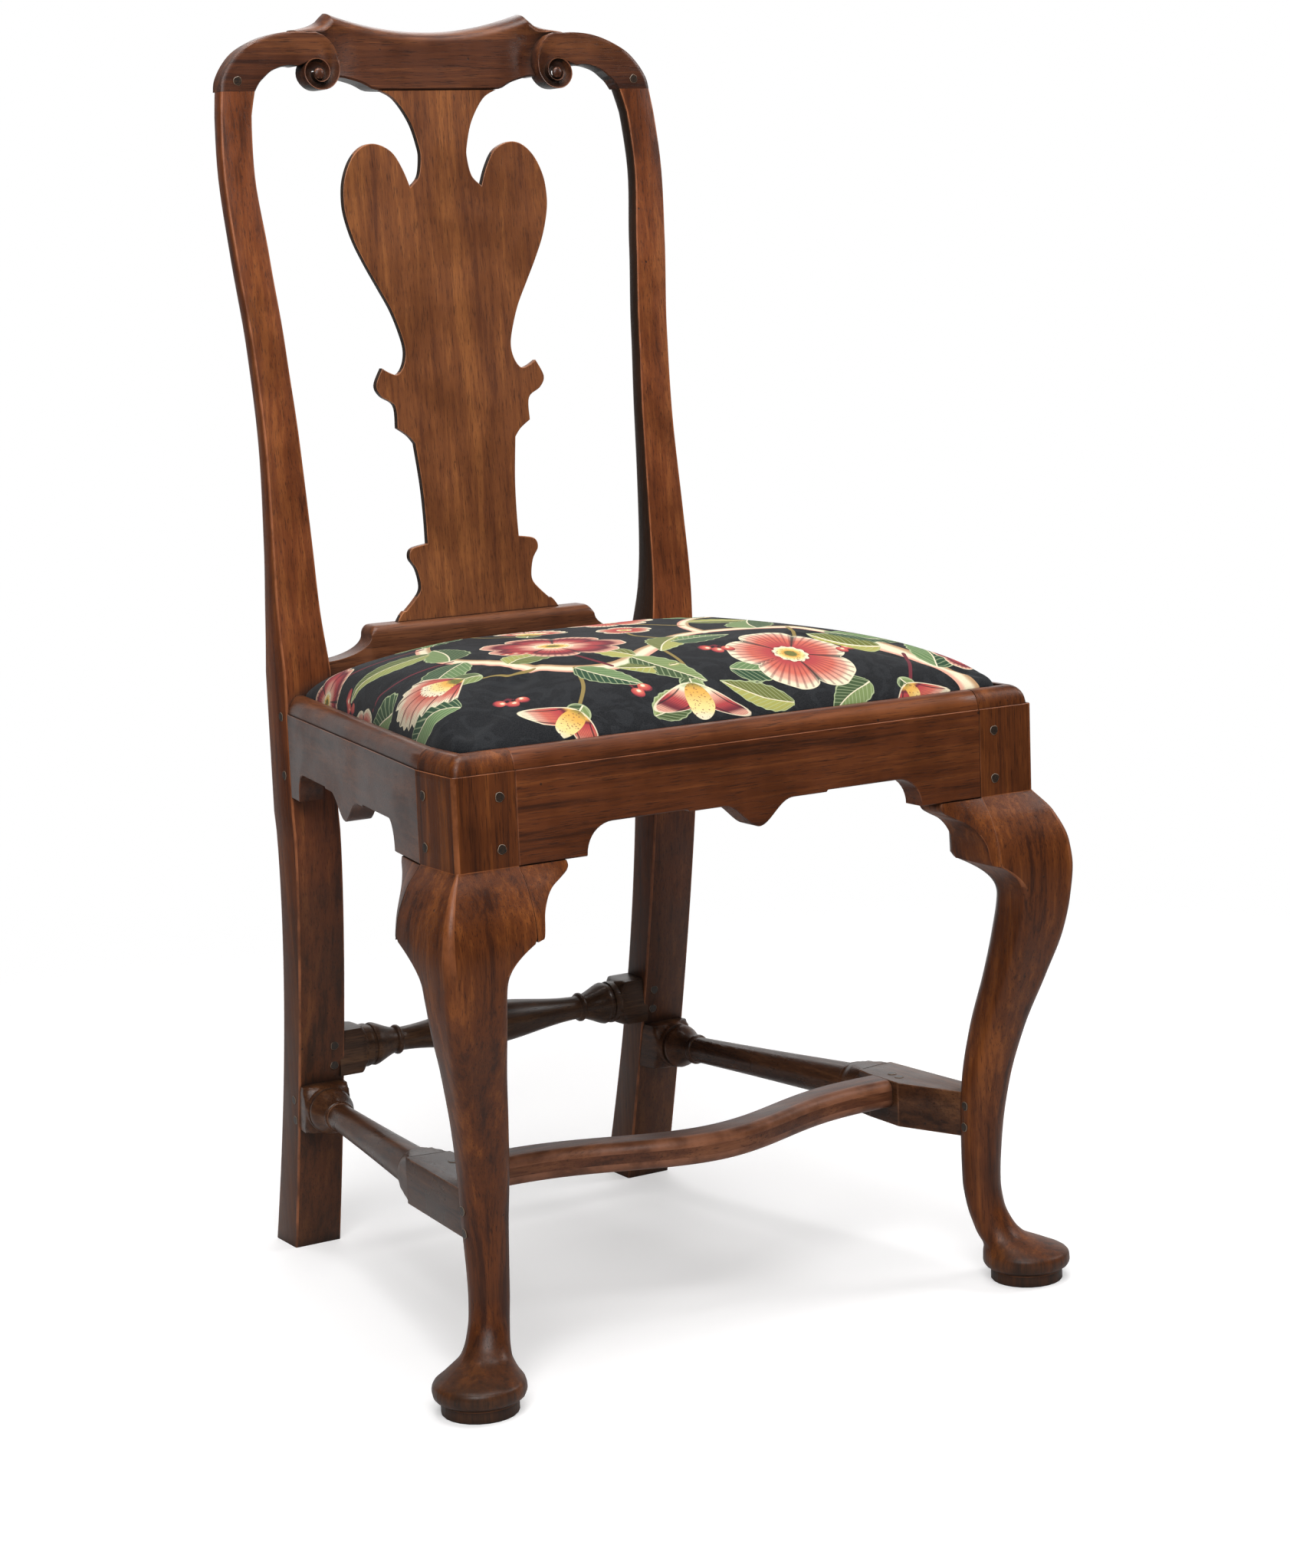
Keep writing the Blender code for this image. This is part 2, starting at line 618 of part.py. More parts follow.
def peg_hole(entry):
    name, start, direction, length = entry
    axis = Vector(direction)
    extra = 0.003 if name.startswith("peg_leg") else GAP
    stations = [(0, PEG_RADIUS + GAP), (length + 0.003 + extra, PEG_RADIUS + GAP)]
    return tube("hole", Vector(start) - axis * 0.003, direction, stations)


def drill(target, side, *starts):
    for entry in peg_list(side):
        if entry[0].startswith(starts):
            cut(target, peg_hole(entry))


# Frame pieces

def rear_stile(name, side):
    made = stile_solid(name, side)
    join(made, side_box("tenon", side, *crest_tenon()))
    tenons = (side_rail_rear_tenon(), rear_rail_tenon(), rear_stretcher_tenon(), side_stretcher_rear_tenon())
    for tenon in tenons:
        cut(made, side_box("mortise", side, *grown(*tenon)))
    drill(made, side, "peg_stile", "peg_crest", "peg_rear_stretcher", "peg_side_stretcher")
    paint(made, WALNUT)


def crest_half():
    """Right-hand ear outline and right half of the plain middle, as x and height over the joint."""
    x, y, width, depth = stile_row(BACK_HEIGHT)
    ear = curve([(x, 0.0), (x - 0.0017, 0.009), (x - 0.0085, 0.020), (x - 0.018, 0.030), (x - 0.030, 0.0373),
                 (x - 0.045, 0.043), (x - 0.059, 0.0457), (x - 0.074, 0.0464), (x - 0.086, 0.046)], 2)
    ear += curve([(x - 0.086, 0.046), (x - 0.100, 0.0366), (x - 0.1045, 0.024), (x - 0.1035, 0.013),
                  (x - 0.098, 0.0055), (x - 0.088, 0.001), (x - 0.078, 0.003), (x - 0.0725, 0.010),
                  (x - 0.0710, 0.0190)], 2)
    ear += curve([(x - 0.0710, 0.0190), (x - 0.0625, 0.0198), (x - 0.0540, 0.0190), (x - 0.0450, 0.0155),
                  (x - 0.0375, 0.0095), (x - 0.0330, 0.0045), (x - width, 0.0)], 2) + [(x - width, 0.0)]
    peak = x - 0.1070
    middle = curve([(SPLAT_HALF, 0.0005), (SPLAT_HALF + 0.007, 0.002), (SPLAT_HALF + 0.014, 0.006),
                    (x - 0.117, 0.0095), (x - 0.108, 0.0109), (x - 0.102, 0.0105)], 2)
    middle += [(x - 0.102, 0.0105), (x - 0.090, 0.0200), (x - 0.0740, 0.0400)]
    middle += curve([(x - 0.0740, 0.0485), (x - 0.0810, 0.0492), (x - 0.0900, 0.0515), (x - 0.0975, 0.0545),
                     (x - 0.1022, 0.0580), (peak, 0.0620)], 2)
    middle += [(peak * u, 0.0474 + 0.0146 * u * u) for u in (1.0, 0.8, 0.6, 0.4, 0.2)]
    return ear, middle


def crest_rail():
    ear, half = crest_half()
    peak = max(x for x, z in half if z > 0.0619)
    outline = [(x, z) for x, z in half] + [(0.0, 0.0474)] + [(-x, z) for x, z in reversed(half)]

    def ring(deep, roll):
        points = []
        for x, z in outline:
            at = BACK_HEIGHT + GAP + z
            y = crest_front(at) + CREST_RECESS + deep
            drop = roll if z > 0.0472 else 0.0
            if abs(x) > peak:
                drop = roll * min(max((z - 0.044) / 0.010, 0), 1)
            points.append((x, y, at - drop))
        return points

    made = loft("crest_rail", [ring(0.0, CREST_ROLL), ring(CREST_THICKNESS, 0.0)])
    for side in (-1, 1):
        front = [(side * x, crest_front(BACK_HEIGHT + z), BACK_HEIGHT + GAP + z) for x, z in ear]
        join(made, prism("ear", front, (0, STILE_CURVE[-1][3], 0)))
    for side in (-1, 1):
        cut(made, side_box("mortise", side, *grown(*crest_tenon())))
    cut(made, box("mortise", *grown(*splat_tenon())))
    for side in (-1, 1):
        drill(made, side, "peg_crest")
    paint(made, WALNUT)


def splat_outline():
    """Right half of the splat from its foot to the crest, as x and height."""
    foot = SEAT_HEIGHT + SHOE_HEIGHT
    tall = BACK_HEIGHT - foot

    def at(points):
        return [(x, foot + GAP + z * tall / 0.420) for x, z in points]

    line = at(curve([(0.0755, 0.0), (0.0720, 0.005), (0.0690, 0.008)], 1))
    line += at(curve([(0.0668, 0.0083), (0.0590, 0.0155), (0.0530, 0.0225),
                      (0.0519, 0.0295), (0.0545, 0.0410),
                      (0.0599, 0.0499), (0.0570, 0.0575), (0.0430, 0.0604)], 2))
    line += at(curve([(0.0426, 0.0604), (0.0424, 0.082), (0.0434, 0.109), (0.0466, 0.141)], 2))
    line += at(curve([(0.0466, 0.141), (0.0520, 0.1475), (0.0614, 0.1540)], 2))
    line += at(curve([(0.0614, 0.1545), (0.0622, 0.172), (0.0735, 0.1800),
                      (0.0777, 0.189), (0.0710, 0.2022)], 2))
    line += at(curve([(0.0710, 0.2022), (0.0640, 0.1982), (0.0570, 0.1968), (0.0512, 0.2040),
                      (0.0489, 0.2150), (0.0514, 0.2280), (0.0582, 0.2470), (0.0680, 0.2655),
                      (0.0780, 0.284), (0.0866, 0.3025), (0.0920, 0.321), (0.0933, 0.335),
                      (0.0912, 0.351), (0.0840, 0.3665), (0.0730, 0.3765), (0.0605, 0.3784), (0.0470, 0.3720),
                      (0.0385, 0.3590), (0.0326, 0.344)], 2))
    line += at(curve([(0.0326, 0.344), (0.0245, 0.3520), (0.0214, 0.366), (0.0222, 0.376), (0.0281, 0.395),
                      (0.0403, 0.413), (SPLAT_HALF, 0.420 - 2 * GAP)], 2))
    return line + at([(SPLAT_HALF, 0.420 - 2 * GAP)])


def splat():
    half = splat_outline()
    outline = half + [(-x, z) for x, z in reversed(half)]
    made = prism("splat", [(x, splat_front(z), z) for x, z in outline], (0, SPLAT_THICKNESS, 0))
    join(made, box("tenon", *splat_tenon()))
    join(made, box("tongue", *splat_tongue()))
    paint(made, WALNUT_PALE)


def splat_tongue():
    top = SEAT_HEIGHT + SHOE_HEIGHT
    y = splat_front(top)
    return (-0.070, y + 0.0010, top - SPLAT_TONGUE), (0.070, y + SPLAT_THICKNESS - 0.0010, top + 0.008)


def shoe():
    top, low = SEAT_HEIGHT + SHOE_HEIGHT, SEAT_HEIGHT + GAP
    brow = SEAT_HEIGHT + SHOE_FASCIA
    end = STILE_IN - GAP
    sweep = end - SHOE_HALF
    fall = brow - SEAT_HEIGHT - SHOE_END
    half = [(end, low)] + [(SHOE_HALF + sweep * (1 - cos(a)), brow - fall * sin(a))
                           for a in (pi / 2, 1.25, 0.95, 0.65, 0.35)]
    half += [(SHOE_HALF, brow), (SHOE_HALF - 0.001, brow + 0.004), (SHOE_HALF - 0.007, top)]
    outline = half + [(-x, z) for x, z in reversed(half)]

    def slide(x, z):
        share = min(max((z - SEAT_HEIGHT - SHOE_END) / 0.006, 0), 1)
        return x - SHOE_TAPER * share * (1 if x > 0 else -1)

    made = loft("shoe", [[(x, SHOE_Y, z) for x, z in outline],
                         [(slide(x, z), SHOE_Y + SHOE_DEPTH, z) for x, z in outline]])
    round_over = top - brow
    edge = [(SHOE_Y - 0.002, brow), (SHOE_Y, brow)]
    turns = (0.4, 0.8, 1.2, pi / 2)
    edge += [(SHOE_Y + round_over * (1 - cos(a)), brow + round_over * sin(a)) for a in turns]
    edge += [(SHOE_Y + round_over, top + 0.002), (SHOE_Y - 0.002, top + 0.002)]
    cut(made, prism("round", [(-STILE_IN, y, z) for y, z in edge], (2 * STILE_IN, 0, 0)))
    cut(made, box("slot", *grown(*splat_tongue())))
    paint(made, WALNUT_DARK)


def rear_seat_rail():
    front = STILE_Y + REAR_RAIL_SET
    back = front + REAR_RAIL_DEPTH
    section = [(front, RAIL_BOTTOM + 0.003), (back, RAIL_BOTTOM + 0.003), (back, SEAT_HEIGHT),
               (front + REAR_LEDGE, SEAT_HEIGHT), (front + REAR_LEDGE, LEDGE), (front, LEDGE)]
    end = STILE_IN - GAP
    made = prism("rear_seat_rail", [(-end, y, z) for y, z in section], (2 * end, 0, 0))
    for side in (-1, 1):
        join(made, side_box("tenon", side, *rear_rail_tenon()))
    paint(made, WALNUT_DARK)


def front_seat_rail():
    end = POST_IN - GAP
    rings = []
    for x, bottom in apron(-end, end, (FRONT_LUG, FRONT_LUG), FRONT_COVE, FRONT_STEP, FRONT_DROP):
        rings.append([(x, FRONT_Y + t, z) for t, z in rail_section(bottom)])
    made = loft("front_seat_rail", rings)
    for side in (-1, 1):
        join(made, side_box("tenon", side, *front_rail_tenon()))
        drill(made, side, "peg_front_rail")
    paint(made, WALNUT)


def side_seat_rail(name, side):
    rings = []
    ends = POST_BACK + GAP, STILE_Y - GAP
    for y, bottom in apron(*ends, (SIDE_LUG, SIDE_REAR_LUG), SIDE_COVE, SIDE_STEP, SIDE_DROP):
        rings.append([(side * (side_x(y) - t), y, z) for t, z in rail_section(bottom)])
    made = loft(name, rings)
    join(made, side_box("tenon", side, *side_rail_front_tenon()))
    join(made, side_box("tenon", side, *side_rail_rear_tenon()))
    drill(made, side, "peg_side_rail", "peg_stile")
    paint(made, WALNUT)


def front_leg(name, side):
    made = leg_solid(name, side)
    low = (POST_IN - 0.005, FRONT_Y + MOULDING_WIDTH, LEDGE)
    high = (FRONT_WIDTH / 2 - MOULDING_WIDTH, POST_BACK + 0.005, SEAT_HEIGHT + 0.005)
    cut(made, side_box("rebate", side, low, high))
    for tenon in (front_rail_tenon(), side_rail_front_tenon(), side_stretcher_front_tenon()):
        cut(made, side_box("mortise", side, *grown(*tenon)))
    drill(made, side, "peg_front_rail", "peg_side_rail", "peg_leg")
    paint(made, WALNUT)


def knee_bracket(name, side, along_front):
    """Bracket beside a knee, its face running from the knee bulge out to the rail face."""
    drops = [0.0003, 0.0040, 0.0070, 0.0110, 0.0135, 0.0165, 0.0200, 0.0240, 0.0330, 0.0400, 0.0485]
    rows = [(BRACKET_CURVE[0][0], BRACKET_REACH), *BRACKET_CURVE[1:]]
    rings = []
    for drop in drops + [BRACKET_DROP]:
        z = RAIL_BOTTOM - drop
        reach = interpolate(rows, drop)[0] if drop < BRACKET_DROP else 0.0008
        bulge = interpolate(leg_table(), z)[0]
        tip = bulge * (1 - reach / BRACKET_REACH) * 0.92 + 0.0006
        ring = [(GAP, -bulge), (reach, -tip), (reach, BRACKET_THICKNESS), (GAP, BRACKET_THICKNESS)]
        if along_front:
            rings.append([(side * (POST_IN - u), FRONT_Y + v, z) for u, v in ring])
        else:
            rings.append([(side * (side_x(POST_BACK + u) - v), POST_BACK + u, z) for u, v in ring])
    paint(loft(name, rings), WALNUT)


# Stretchers

def side_stretcher(name, side):
    start, end = stretcher_axis(side)
    axis = (end - start).normalized()
    leg_x, leg_y, half = leg_centre(SIDE_STRETCHER_FRONT_Z)
    rear_y = leg_y + BLOCK_LENGTH
    length = (rear_y - start.y) / axis.y
    square = SQUARE_HALF
    made = turned(name, start, end, [
        (-0.0055, square, 1), (0.013, square, 1), (0.0195, 0.0188, 0), (0.0235, 0.0188, 0),
        (0.0240, 0.0165, 0),
        (0.0262, 0.0165, 0), (0.0267, 0.0182, 0), (0.0300, 0.0180, 0), (0.0350, 0.0158, 0),
        (0.0410, 0.0124, 0),
        (0.0465, 0.0106, 0), (0.0480, 0.0125, 0), (0.0500, 0.0125, 0), (0.0515, 0.0108, 0),
        (length * 0.5, 0.0132, 0), (length - 0.006, 0.0154, 0), (length - 0.005, 0.0166, 0),
        (length - 0.001, 0.0166, 0), (length, 0.0150, 0), (length + 0.010, 0.0140, 0)])
    joint_x = leg_x - BLOCK_REACH
    mid_y = leg_y + FRONT_STRETCHER_SET
    near = abs((start + axis * length).x)
    plan = [(near + 0.0150, rear_y - 0.020), (near + 0.0060, rear_y), (near - 0.0145, rear_y + 0.002),
            (joint_x + 0.004, mid_y + 0.0255), (joint_x, mid_y + 0.0185), (joint_x, mid_y - 0.0200),
            (leg_x - 0.0140, leg_y + 0.0120),
            (leg_x + 0.0090, leg_y + 0.0100)]
    low = SIDE_STRETCHER_FRONT_Z - BLOCK_HALF_HEIGHT
    join(made, prism("block", [(side * x, y, low) for x, y in plan], (0, 0, 2 * BLOCK_HALF_HEIGHT)))
    cut(made, leg_solid("leg", side, GAP))
    cut(made, stile_solid("stile", side, GAP))
    join(made, side_box("tenon", side, *side_stretcher_rear_tenon()))
    join(made, side_box("tenon", side, *side_stretcher_front_tenon()))
    cut(made, side_box("mortise", side, *grown(*front_stretcher_tongue())))
    drill(made, side, "peg_side_stretcher", "peg_leg", "peg_front_stretcher")
    paint(made, WALNUT_DARK)


def rear_stretcher():
    x, y, width, depth = stile_row(REAR_STRETCHER_Z)
    end = x - width
    half = [(end + 0.010, SQUARE_HALF, 1), (end - 0.0160, SQUARE_HALF, 1), (end - 0.0225, 0.0176, 0),
            (end - 0.0275, 0.0180, 0), (end - 0.0280, 0.0165, 0), (end - 0.0305, 0.0165, 0),
            (end - 0.0310, 0.0180, 0), (end - 0.0350, 0.0175, 0), (end - 0.0440, 0.0135, 0),
            (end - 0.0530, 0.0105, 0), (end - 0.0545, 0.0122, 0), (end - 0.0570, 0.0122, 0),
            (end - 0.0585, 0.0098, 0), (end * 0.36, 0.0135, 0), (end * 0.16, 0.0170, 0)]
    stations = [(-d, r, s) for d, r, s in half] + [(0.0, 0.0183, 0)]
    stations += [(d, r, s) for d, r, s in reversed(half)]
    middle = Vector((0, y + REAR_STRETCHER_SET, REAR_STRETCHER_Z))
    made = turned("rear_stretcher", middle, middle + Vector((1, 0, 0)), stations,
                  REAR_SQUARE_HALF / SQUARE_HALF)
    for side in (-1, 1):
        face = []
        for z in (REAR_STRETCHER_Z - 0.03, REAR_STRETCHER_Z + 0.03):
            x, y, width, depth = stile_row(z)
            face.append((side * (x - width - GAP), middle.y - 0.05, z))
        far = Vector((side * 0.05, 0, 0))
        cut(made, prism("end", [face[0], Vector(face[0]) + far, Vector(face[1]) + far, face[1]], (0, 0.1, 0)))
        join(made, side_box("tenon", side, *rear_stretcher_tenon()))
        drill(made, side, "peg_rear_stretcher")
    paint(made, WALNUT_DARK)


def front_stretcher():
    leg_x, leg_y, half = leg_centre(SIDE_STRETCHER_FRONT_Z)
    end = leg_x - BLOCK_REACH - GAP
    back = leg_y + FRONT_STRETCHER_SET + FRONT_STRETCHER_DEPTH / 2
    low = front_stretcher_z() - FRONT_STRETCHER_HEIGHT / 2
    tall, deep = FRONT_STRETCHER_HEIGHT, FRONT_STRETCHER_DEPTH
    section = [(0.0, 0.0), (0.0, tall), (-deep + 0.0055, tall), (-deep + 0.0020, tall - 0.0022),
               (-deep, tall - 0.0070), (-deep, 0.0050), (-deep + 0.0015, 0.0015), (-deep + 0.0045, 0.0)]
    rings = []
    for k in range(-14, 15):
        u = k / 14
        bow = FRONT_STRETCHER_BOW * (0.5 + 0.5 * cos(pi * u)) ** 1.5
        rings.append([(end * u, back - bow + y, low + z) for y, z in section])
    made = loft("front_stretcher", rings)
    for side in (-1, 1):
        join(made, side_box("tongue", side, *front_stretcher_tongue()))
        drill(made, side, "peg_front_stretcher")
    paint(made, WALNUT_DARK)


# Drop-in seat

def seat_corners(inset):
    """Plan of the seat inside the rebate: front, kink, rear, notch and tongue corners, right half."""
    front = FRONT_Y + MOULDING_WIDTH + inset
    post = FRONT_WIDTH / 2 - MOULDING_WIDTH - inset
    rear = STILE_Y - inset
    side = side_x(rear) - MOULDING_WIDTH - inset
    inner = STILE_IN - inset
    tongue = STILE_Y + REAR_RAIL_SET + REAR_LEDGE - inset
    return [(post, front), (post, POST_BACK), (side, rear), (inner, rear), (inner, tongue)]


def seat_boundary(inset):
    """Points round the seat plan, the same number for every inset."""
    front, kink, rear, notch, tongue = seat_corners(inset)
    right = [(front[0] * k / 4, front[1]) for k in range(1, 4)]
    right += [(front[0] - FRONT_CLIP, front[1]), (front[0], front[1] + FRONT_CLIP), kink]
    for k in range(1, 6):
        t = k / 6
        right.append((kink[0] + (rear[0] - kink[0]) * t, kink[1] + (rear[1] - kink[1]) * t))
    right += [(rear[0] + 0.0005, rear[1] - REAR_CLIP), (rear[0] - REAR_CLIP, rear[1]), notch, tongue]
    right += [(tongue[0] * k / 3, tongue[1]) for k in (2, 1)]
    left = [(-x, y) for x, y in reversed(right)]
    return [(0.0, front[1])] + right + [(0.0, tongue[1])] + left


def seat_ring(inset, scale, z):
    middle = (FRONT_Y + STILE_Y) / 2
    return [(x * scale, middle + (y - middle) * scale, z) for x, y in seat_boundary(inset)]


def dome(share):
    """Height of the cushion above its edge at a share of the way out from the middle."""
    return SEAT_CROWN * max(1 - share ** 2.6, 0) ** 0.75


def dome_loft(name, rings, first, last):
    """Closed body through rings, ended by a fan to a point or by a ring joined to the first."""
    bm = bmesh.new()
    loops = [[bm.verts.new(p) for p in ring] for ring in rings]
    for low, high in zip(loops, loops[1:]):
        for k in range(len(low)):
            n = (k + 1) % len(low)
            bm.faces.new((low[k], low[n], high[n], high[k]))
    for loop, point in ((loops[0], first), (loops[-1], last)):
        if point is None:
            bm.faces.new(loop)
            continue
        tip = bm.verts.new(point)
        for k in range(len(loop)):
            bm.faces.new((loop[k], loop[(k + 1) % len(loop)], tip))
    return mesh_object(name, bm)


def seat_cover():
    middle = (FRONT_Y + STILE_Y) / 2
    edge, low = SEAT_HEIGHT + SEAT_EDGE, LEDGE + GAP
    skin = SEAT_PLAY + CLOTH
    rings = [seat_ring(SEAT_PLAY, s, edge + dome(s)) for s in (0.30, 0.55, 0.75, 0.88, 0.95, 0.985, 1.0)]
    rings += [seat_ring(SEAT_PLAY, 1.0, low + 0.010), seat_ring(SEAT_PLAY, 1.0, low)]
    rings += [seat_ring(SEAT_PLAY + HEM, 1.0, low), seat_ring(SEAT_PLAY + HEM, 1.0, low + CLOTH)]
    rings += [seat_ring(skin, 1.0, low + CLOTH), seat_ring(skin, 1.0, edge - 0.0015)]
    rings += [seat_ring(skin, s, edge - 0.0015 + dome(s)) for s in (0.98, 0.93, 0.82, 0.62, 0.35)]
    made = dome_loft("seat_cover", rings, (0, middle, edge + dome(0)), (0, middle, edge - 0.0015 + dome(0)))
    paint(made, PRINT, 0.85)


def seat_levels():
    """Undersides of the frame, webbing, sackcloth and stuffing."""
    frame = LEDGE + 2 * GAP + CLOTH
    web = frame + FRAME_THICKNESS + GAP
    sack = web + WEB_THICKNESS + GAP
    return frame, web, sack, sack + SACK_THICKNESS + GAP


def seat_stuffing():
    middle = (FRONT_Y + STILE_Y) / 2
    low = seat_levels()[3]
    inset = SEAT_PLAY + CLOTH + 0.0012
    edge = SEAT_HEIGHT + SEAT_EDGE - 0.0027
    rings = [seat_ring(inset, 0.985, low)]
    rings += [seat_ring(inset, s, edge + dome(s)) for s in (0.98, 0.93, 0.82, 0.62, 0.35)]
    made = dome_loft("seat_stuffing", rings, None, (0, middle, edge + dome(0)))
    paint(made, HAIR, 0.95)


def seat_sackcloth():
    low = seat_levels()[2]
    outline = seat_ring(SEAT_PLAY + CLOTH + 0.006, 1.0, low)
    paint(prism("seat_sackcloth", outline, (0, 0, SACK_THICKNESS)), LINEN, 0.95)


def seat_webbing():
    """Straps crossing over the open frame, as one woven lattice."""
    low = seat_levels()[1]
    front, kink, rear, notch, tongue = seat_corners(SEAT_PLAY + CLOTH + 0.008)
    columns = [-0.97, -0.72, -0.46, -0.13, 0.13, 0.46, 0.72, 0.97]
    rows = [0.0, 0.15, 0.28, 0.43, 0.57, 0.72, 0.85, 1.0]
    bm = bmesh.new()
    points = {}
    for i, v in enumerate(rows):
        y = front[1] + (rear[1] - front[1]) * v
        half = min(side_x(y) - MOULDING_WIDTH - SEAT_PLAY - CLOTH - 0.008, front[0])
        for j, u in enumerate(columns):
            points[i, j] = bm.verts.new((half * u, y, low))
    for i in range(len(rows) - 1):
        for j in range(len(columns) - 1):
            if i % 2 == 1 or j % 2 == 1:
                bm.faces.new((points[i, j], points[i, j + 1], points[i + 1, j + 1], points[i + 1, j]))
    loose = [v for v in bm.verts if not v.link_faces]
    bmesh.ops.delete(bm, geom=loose, context="VERTS")
    made = bmesh.ops.extrude_face_region(bm, geom=list(bm.faces))
    moved = [v for v in made["geom"] if isinstance(v, bmesh.types.BMVert)]
    bmesh.ops.translate(bm, verts=moved, vec=(0, 0, WEB_THICKNESS))
    paint(mesh_object("seat_webbing", bm), JUTE, 0.95)


def seat_frame():
    """Four boards, the side ones tenoned into the front and rear ones."""
    low = seat_levels()[0]
    inset = SEAT_PLAY + CLOTH + GAP
    front, kink, rear, notch, tongue = seat_corners(inset)

    def edge(y):
        return kink[0] + (rear[0] - kink[0]) * (y - kink[1]) / (rear[1] - kink[1])

    lift = (0, 0, FRAME_THICKNESS)
    back_of_front = front[1] + FRAME_BOARD
    front_of_rear = rear[1] - FRAME_BOARD + 0.012
    half = [(front[0] - FRONT_CLIP, front[1]), (front[0], front[1] + FRONT_CLIP), kink,
            (edge(back_of_front), back_of_front)]
    outline = [(x, y, low) for x, y in half] + [(-x, y, low) for x, y in reversed(half)]
    front_board = prism("seat_frame_front", outline, lift)
    half = [(edge(front_of_rear), front_of_rear), (edge(rear[1] - REAR_CLIP), rear[1] - REAR_CLIP),
            (rear[0] - REAR_CLIP, rear[1]), notch, tongue]
    outline = [(x, y, low) for x, y in half] + [(-x, y, low) for x, y in reversed(half)]
    rear_board = prism("seat_frame_rear", outline, lift)
    for word, side in (("left", -1), ("right", 1)):
        y0, y1 = back_of_front + GAP, front_of_rear - GAP
        plan = [(edge(y0), y0), (edge(y1), y1), (edge(y1) - FRAME_BOARD, y1), (edge(y0) - FRAME_BOARD, y0)]
        board = prism(f"seat_frame_{word}", [(side * x, y, low) for x, y in plan], lift)
        for other, y, away in ((front_board, y0, -1), (rear_board, y1, 1)):
            x = edge(y) - FRAME_BOARD / 2
            ys = sorted((y - away * 0.006, y + away * 0.016))
            tenon = (x - 0.012, ys[0], low + 0.0045), (x + 0.012, ys[1], low + 0.0100)
            join(board, side_box("tenon", side, *tenon))
            cut(other, side_box("mortise", side, *grown(*tenon)))
        paint(board, PINE, 0.7)
    paint(front_board, PINE, 0.7)
    paint(rear_board, PINE, 0.7)


for old in list(bpy.data.objects):
    bpy.data.objects.remove(old)

for word, side in (("left", -1), ("right", 1)):
    rear_stile(f"{word}_rear_stile", side)
    side_seat_rail(f"{word}_seat_rail", side)
    front_leg(f"{word}_front_leg", side)
    knee_bracket(f"{word}_front_bracket", side, True)
    knee_bracket(f"{word}_side_bracket", side, False)
    side_stretcher(f"{word}_side_stretcher", side)
    for entry in peg_list(side):
        paint(peg_solid(entry), PEG_BROWN, 0.6)
crest_rail()
splat()
shoe()
rear_seat_rail()
front_seat_rail()
rear_stretcher()
front_stretcher()
seat_frame()
seat_webbing()
seat_sackcloth()
seat_stuffing()
seat_cover()
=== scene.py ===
"""Joined walnut side chair with a drop-in seat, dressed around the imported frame."""
from math import cos, pi, radians, sin

import bmesh
import bpy
import numpy as np
from mathutils import Matrix, Vector


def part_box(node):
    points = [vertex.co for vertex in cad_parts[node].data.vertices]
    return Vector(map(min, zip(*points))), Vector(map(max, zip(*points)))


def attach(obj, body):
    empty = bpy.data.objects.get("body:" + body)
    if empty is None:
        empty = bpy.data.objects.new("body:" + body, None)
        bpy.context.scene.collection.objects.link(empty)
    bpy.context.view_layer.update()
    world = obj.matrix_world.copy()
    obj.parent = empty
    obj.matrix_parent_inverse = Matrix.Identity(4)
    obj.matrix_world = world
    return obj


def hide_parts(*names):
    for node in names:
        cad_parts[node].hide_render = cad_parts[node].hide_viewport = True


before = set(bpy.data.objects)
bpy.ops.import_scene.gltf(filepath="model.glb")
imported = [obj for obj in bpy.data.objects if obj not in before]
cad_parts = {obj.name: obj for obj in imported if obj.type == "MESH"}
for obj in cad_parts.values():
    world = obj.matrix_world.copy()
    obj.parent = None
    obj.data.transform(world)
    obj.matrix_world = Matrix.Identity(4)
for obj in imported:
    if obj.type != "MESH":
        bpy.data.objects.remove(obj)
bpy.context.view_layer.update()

# Studio: a pale sweep of floor, one broad soft lamp high on the left, weaker ones on the right, above and
# behind, and a long lens a little above the seat. The floor takes the chair's shadow and fades out.
WHITE = (1.0, 1.0, 1.0, 1)
FAR_SIDE = (0.515, 0.857, 0.0)
PAPER_HALF = 4.0
PAPER_GLOW = 0.36
FADE_FROM, FADE_TO = 0.75, 1.55
AZIMUTH, ELEVATION, ROLL = radians(-30.999), radians(9.173), radians(-2.320)
AIM, DISTANCE = Vector((0.0346, -0.0162, 0.3915)), 2.5097
LENS_MM, SENSOR_MM = 73.62, 36
scene = bpy.context.scene
scene.view_settings.view_transform = "Standard"


def plug(tree, node, sockets):
    """Sets a node's sockets to plain values or to other nodes' outputs."""
    for name, value in sockets.items():
        if isinstance(value, bpy.types.NodeSocket):
            tree.links.new(value, node.inputs[name])
        else:
            node.inputs[name].default_value = value
    return node


def fit(tree, kind, sockets=None, **settings):
    """Adds a shader node."""
    node = tree.nodes.new("ShaderNode" + kind)
    for name, value in settings.items():
        setattr(node, name, value)
    return plug(tree, node, sockets or {})


def sums(tree, operation, one, two=0):
    return fit(tree, "Math", {0: one, 1: two}, operation=operation).outputs[0]


def ranged(tree, value, low, high, to_low=0.0, to_high=1.0):
    """Maps a value from one range to another, clamped, with soft ends."""
    sockets = {"Value": value, "From Min": low, "From Max": high, "To Min": to_low, "To Max": to_high}
    return fit(tree, "MapRange", sockets, interpolation_type="SMOOTHSTEP").outputs[0]


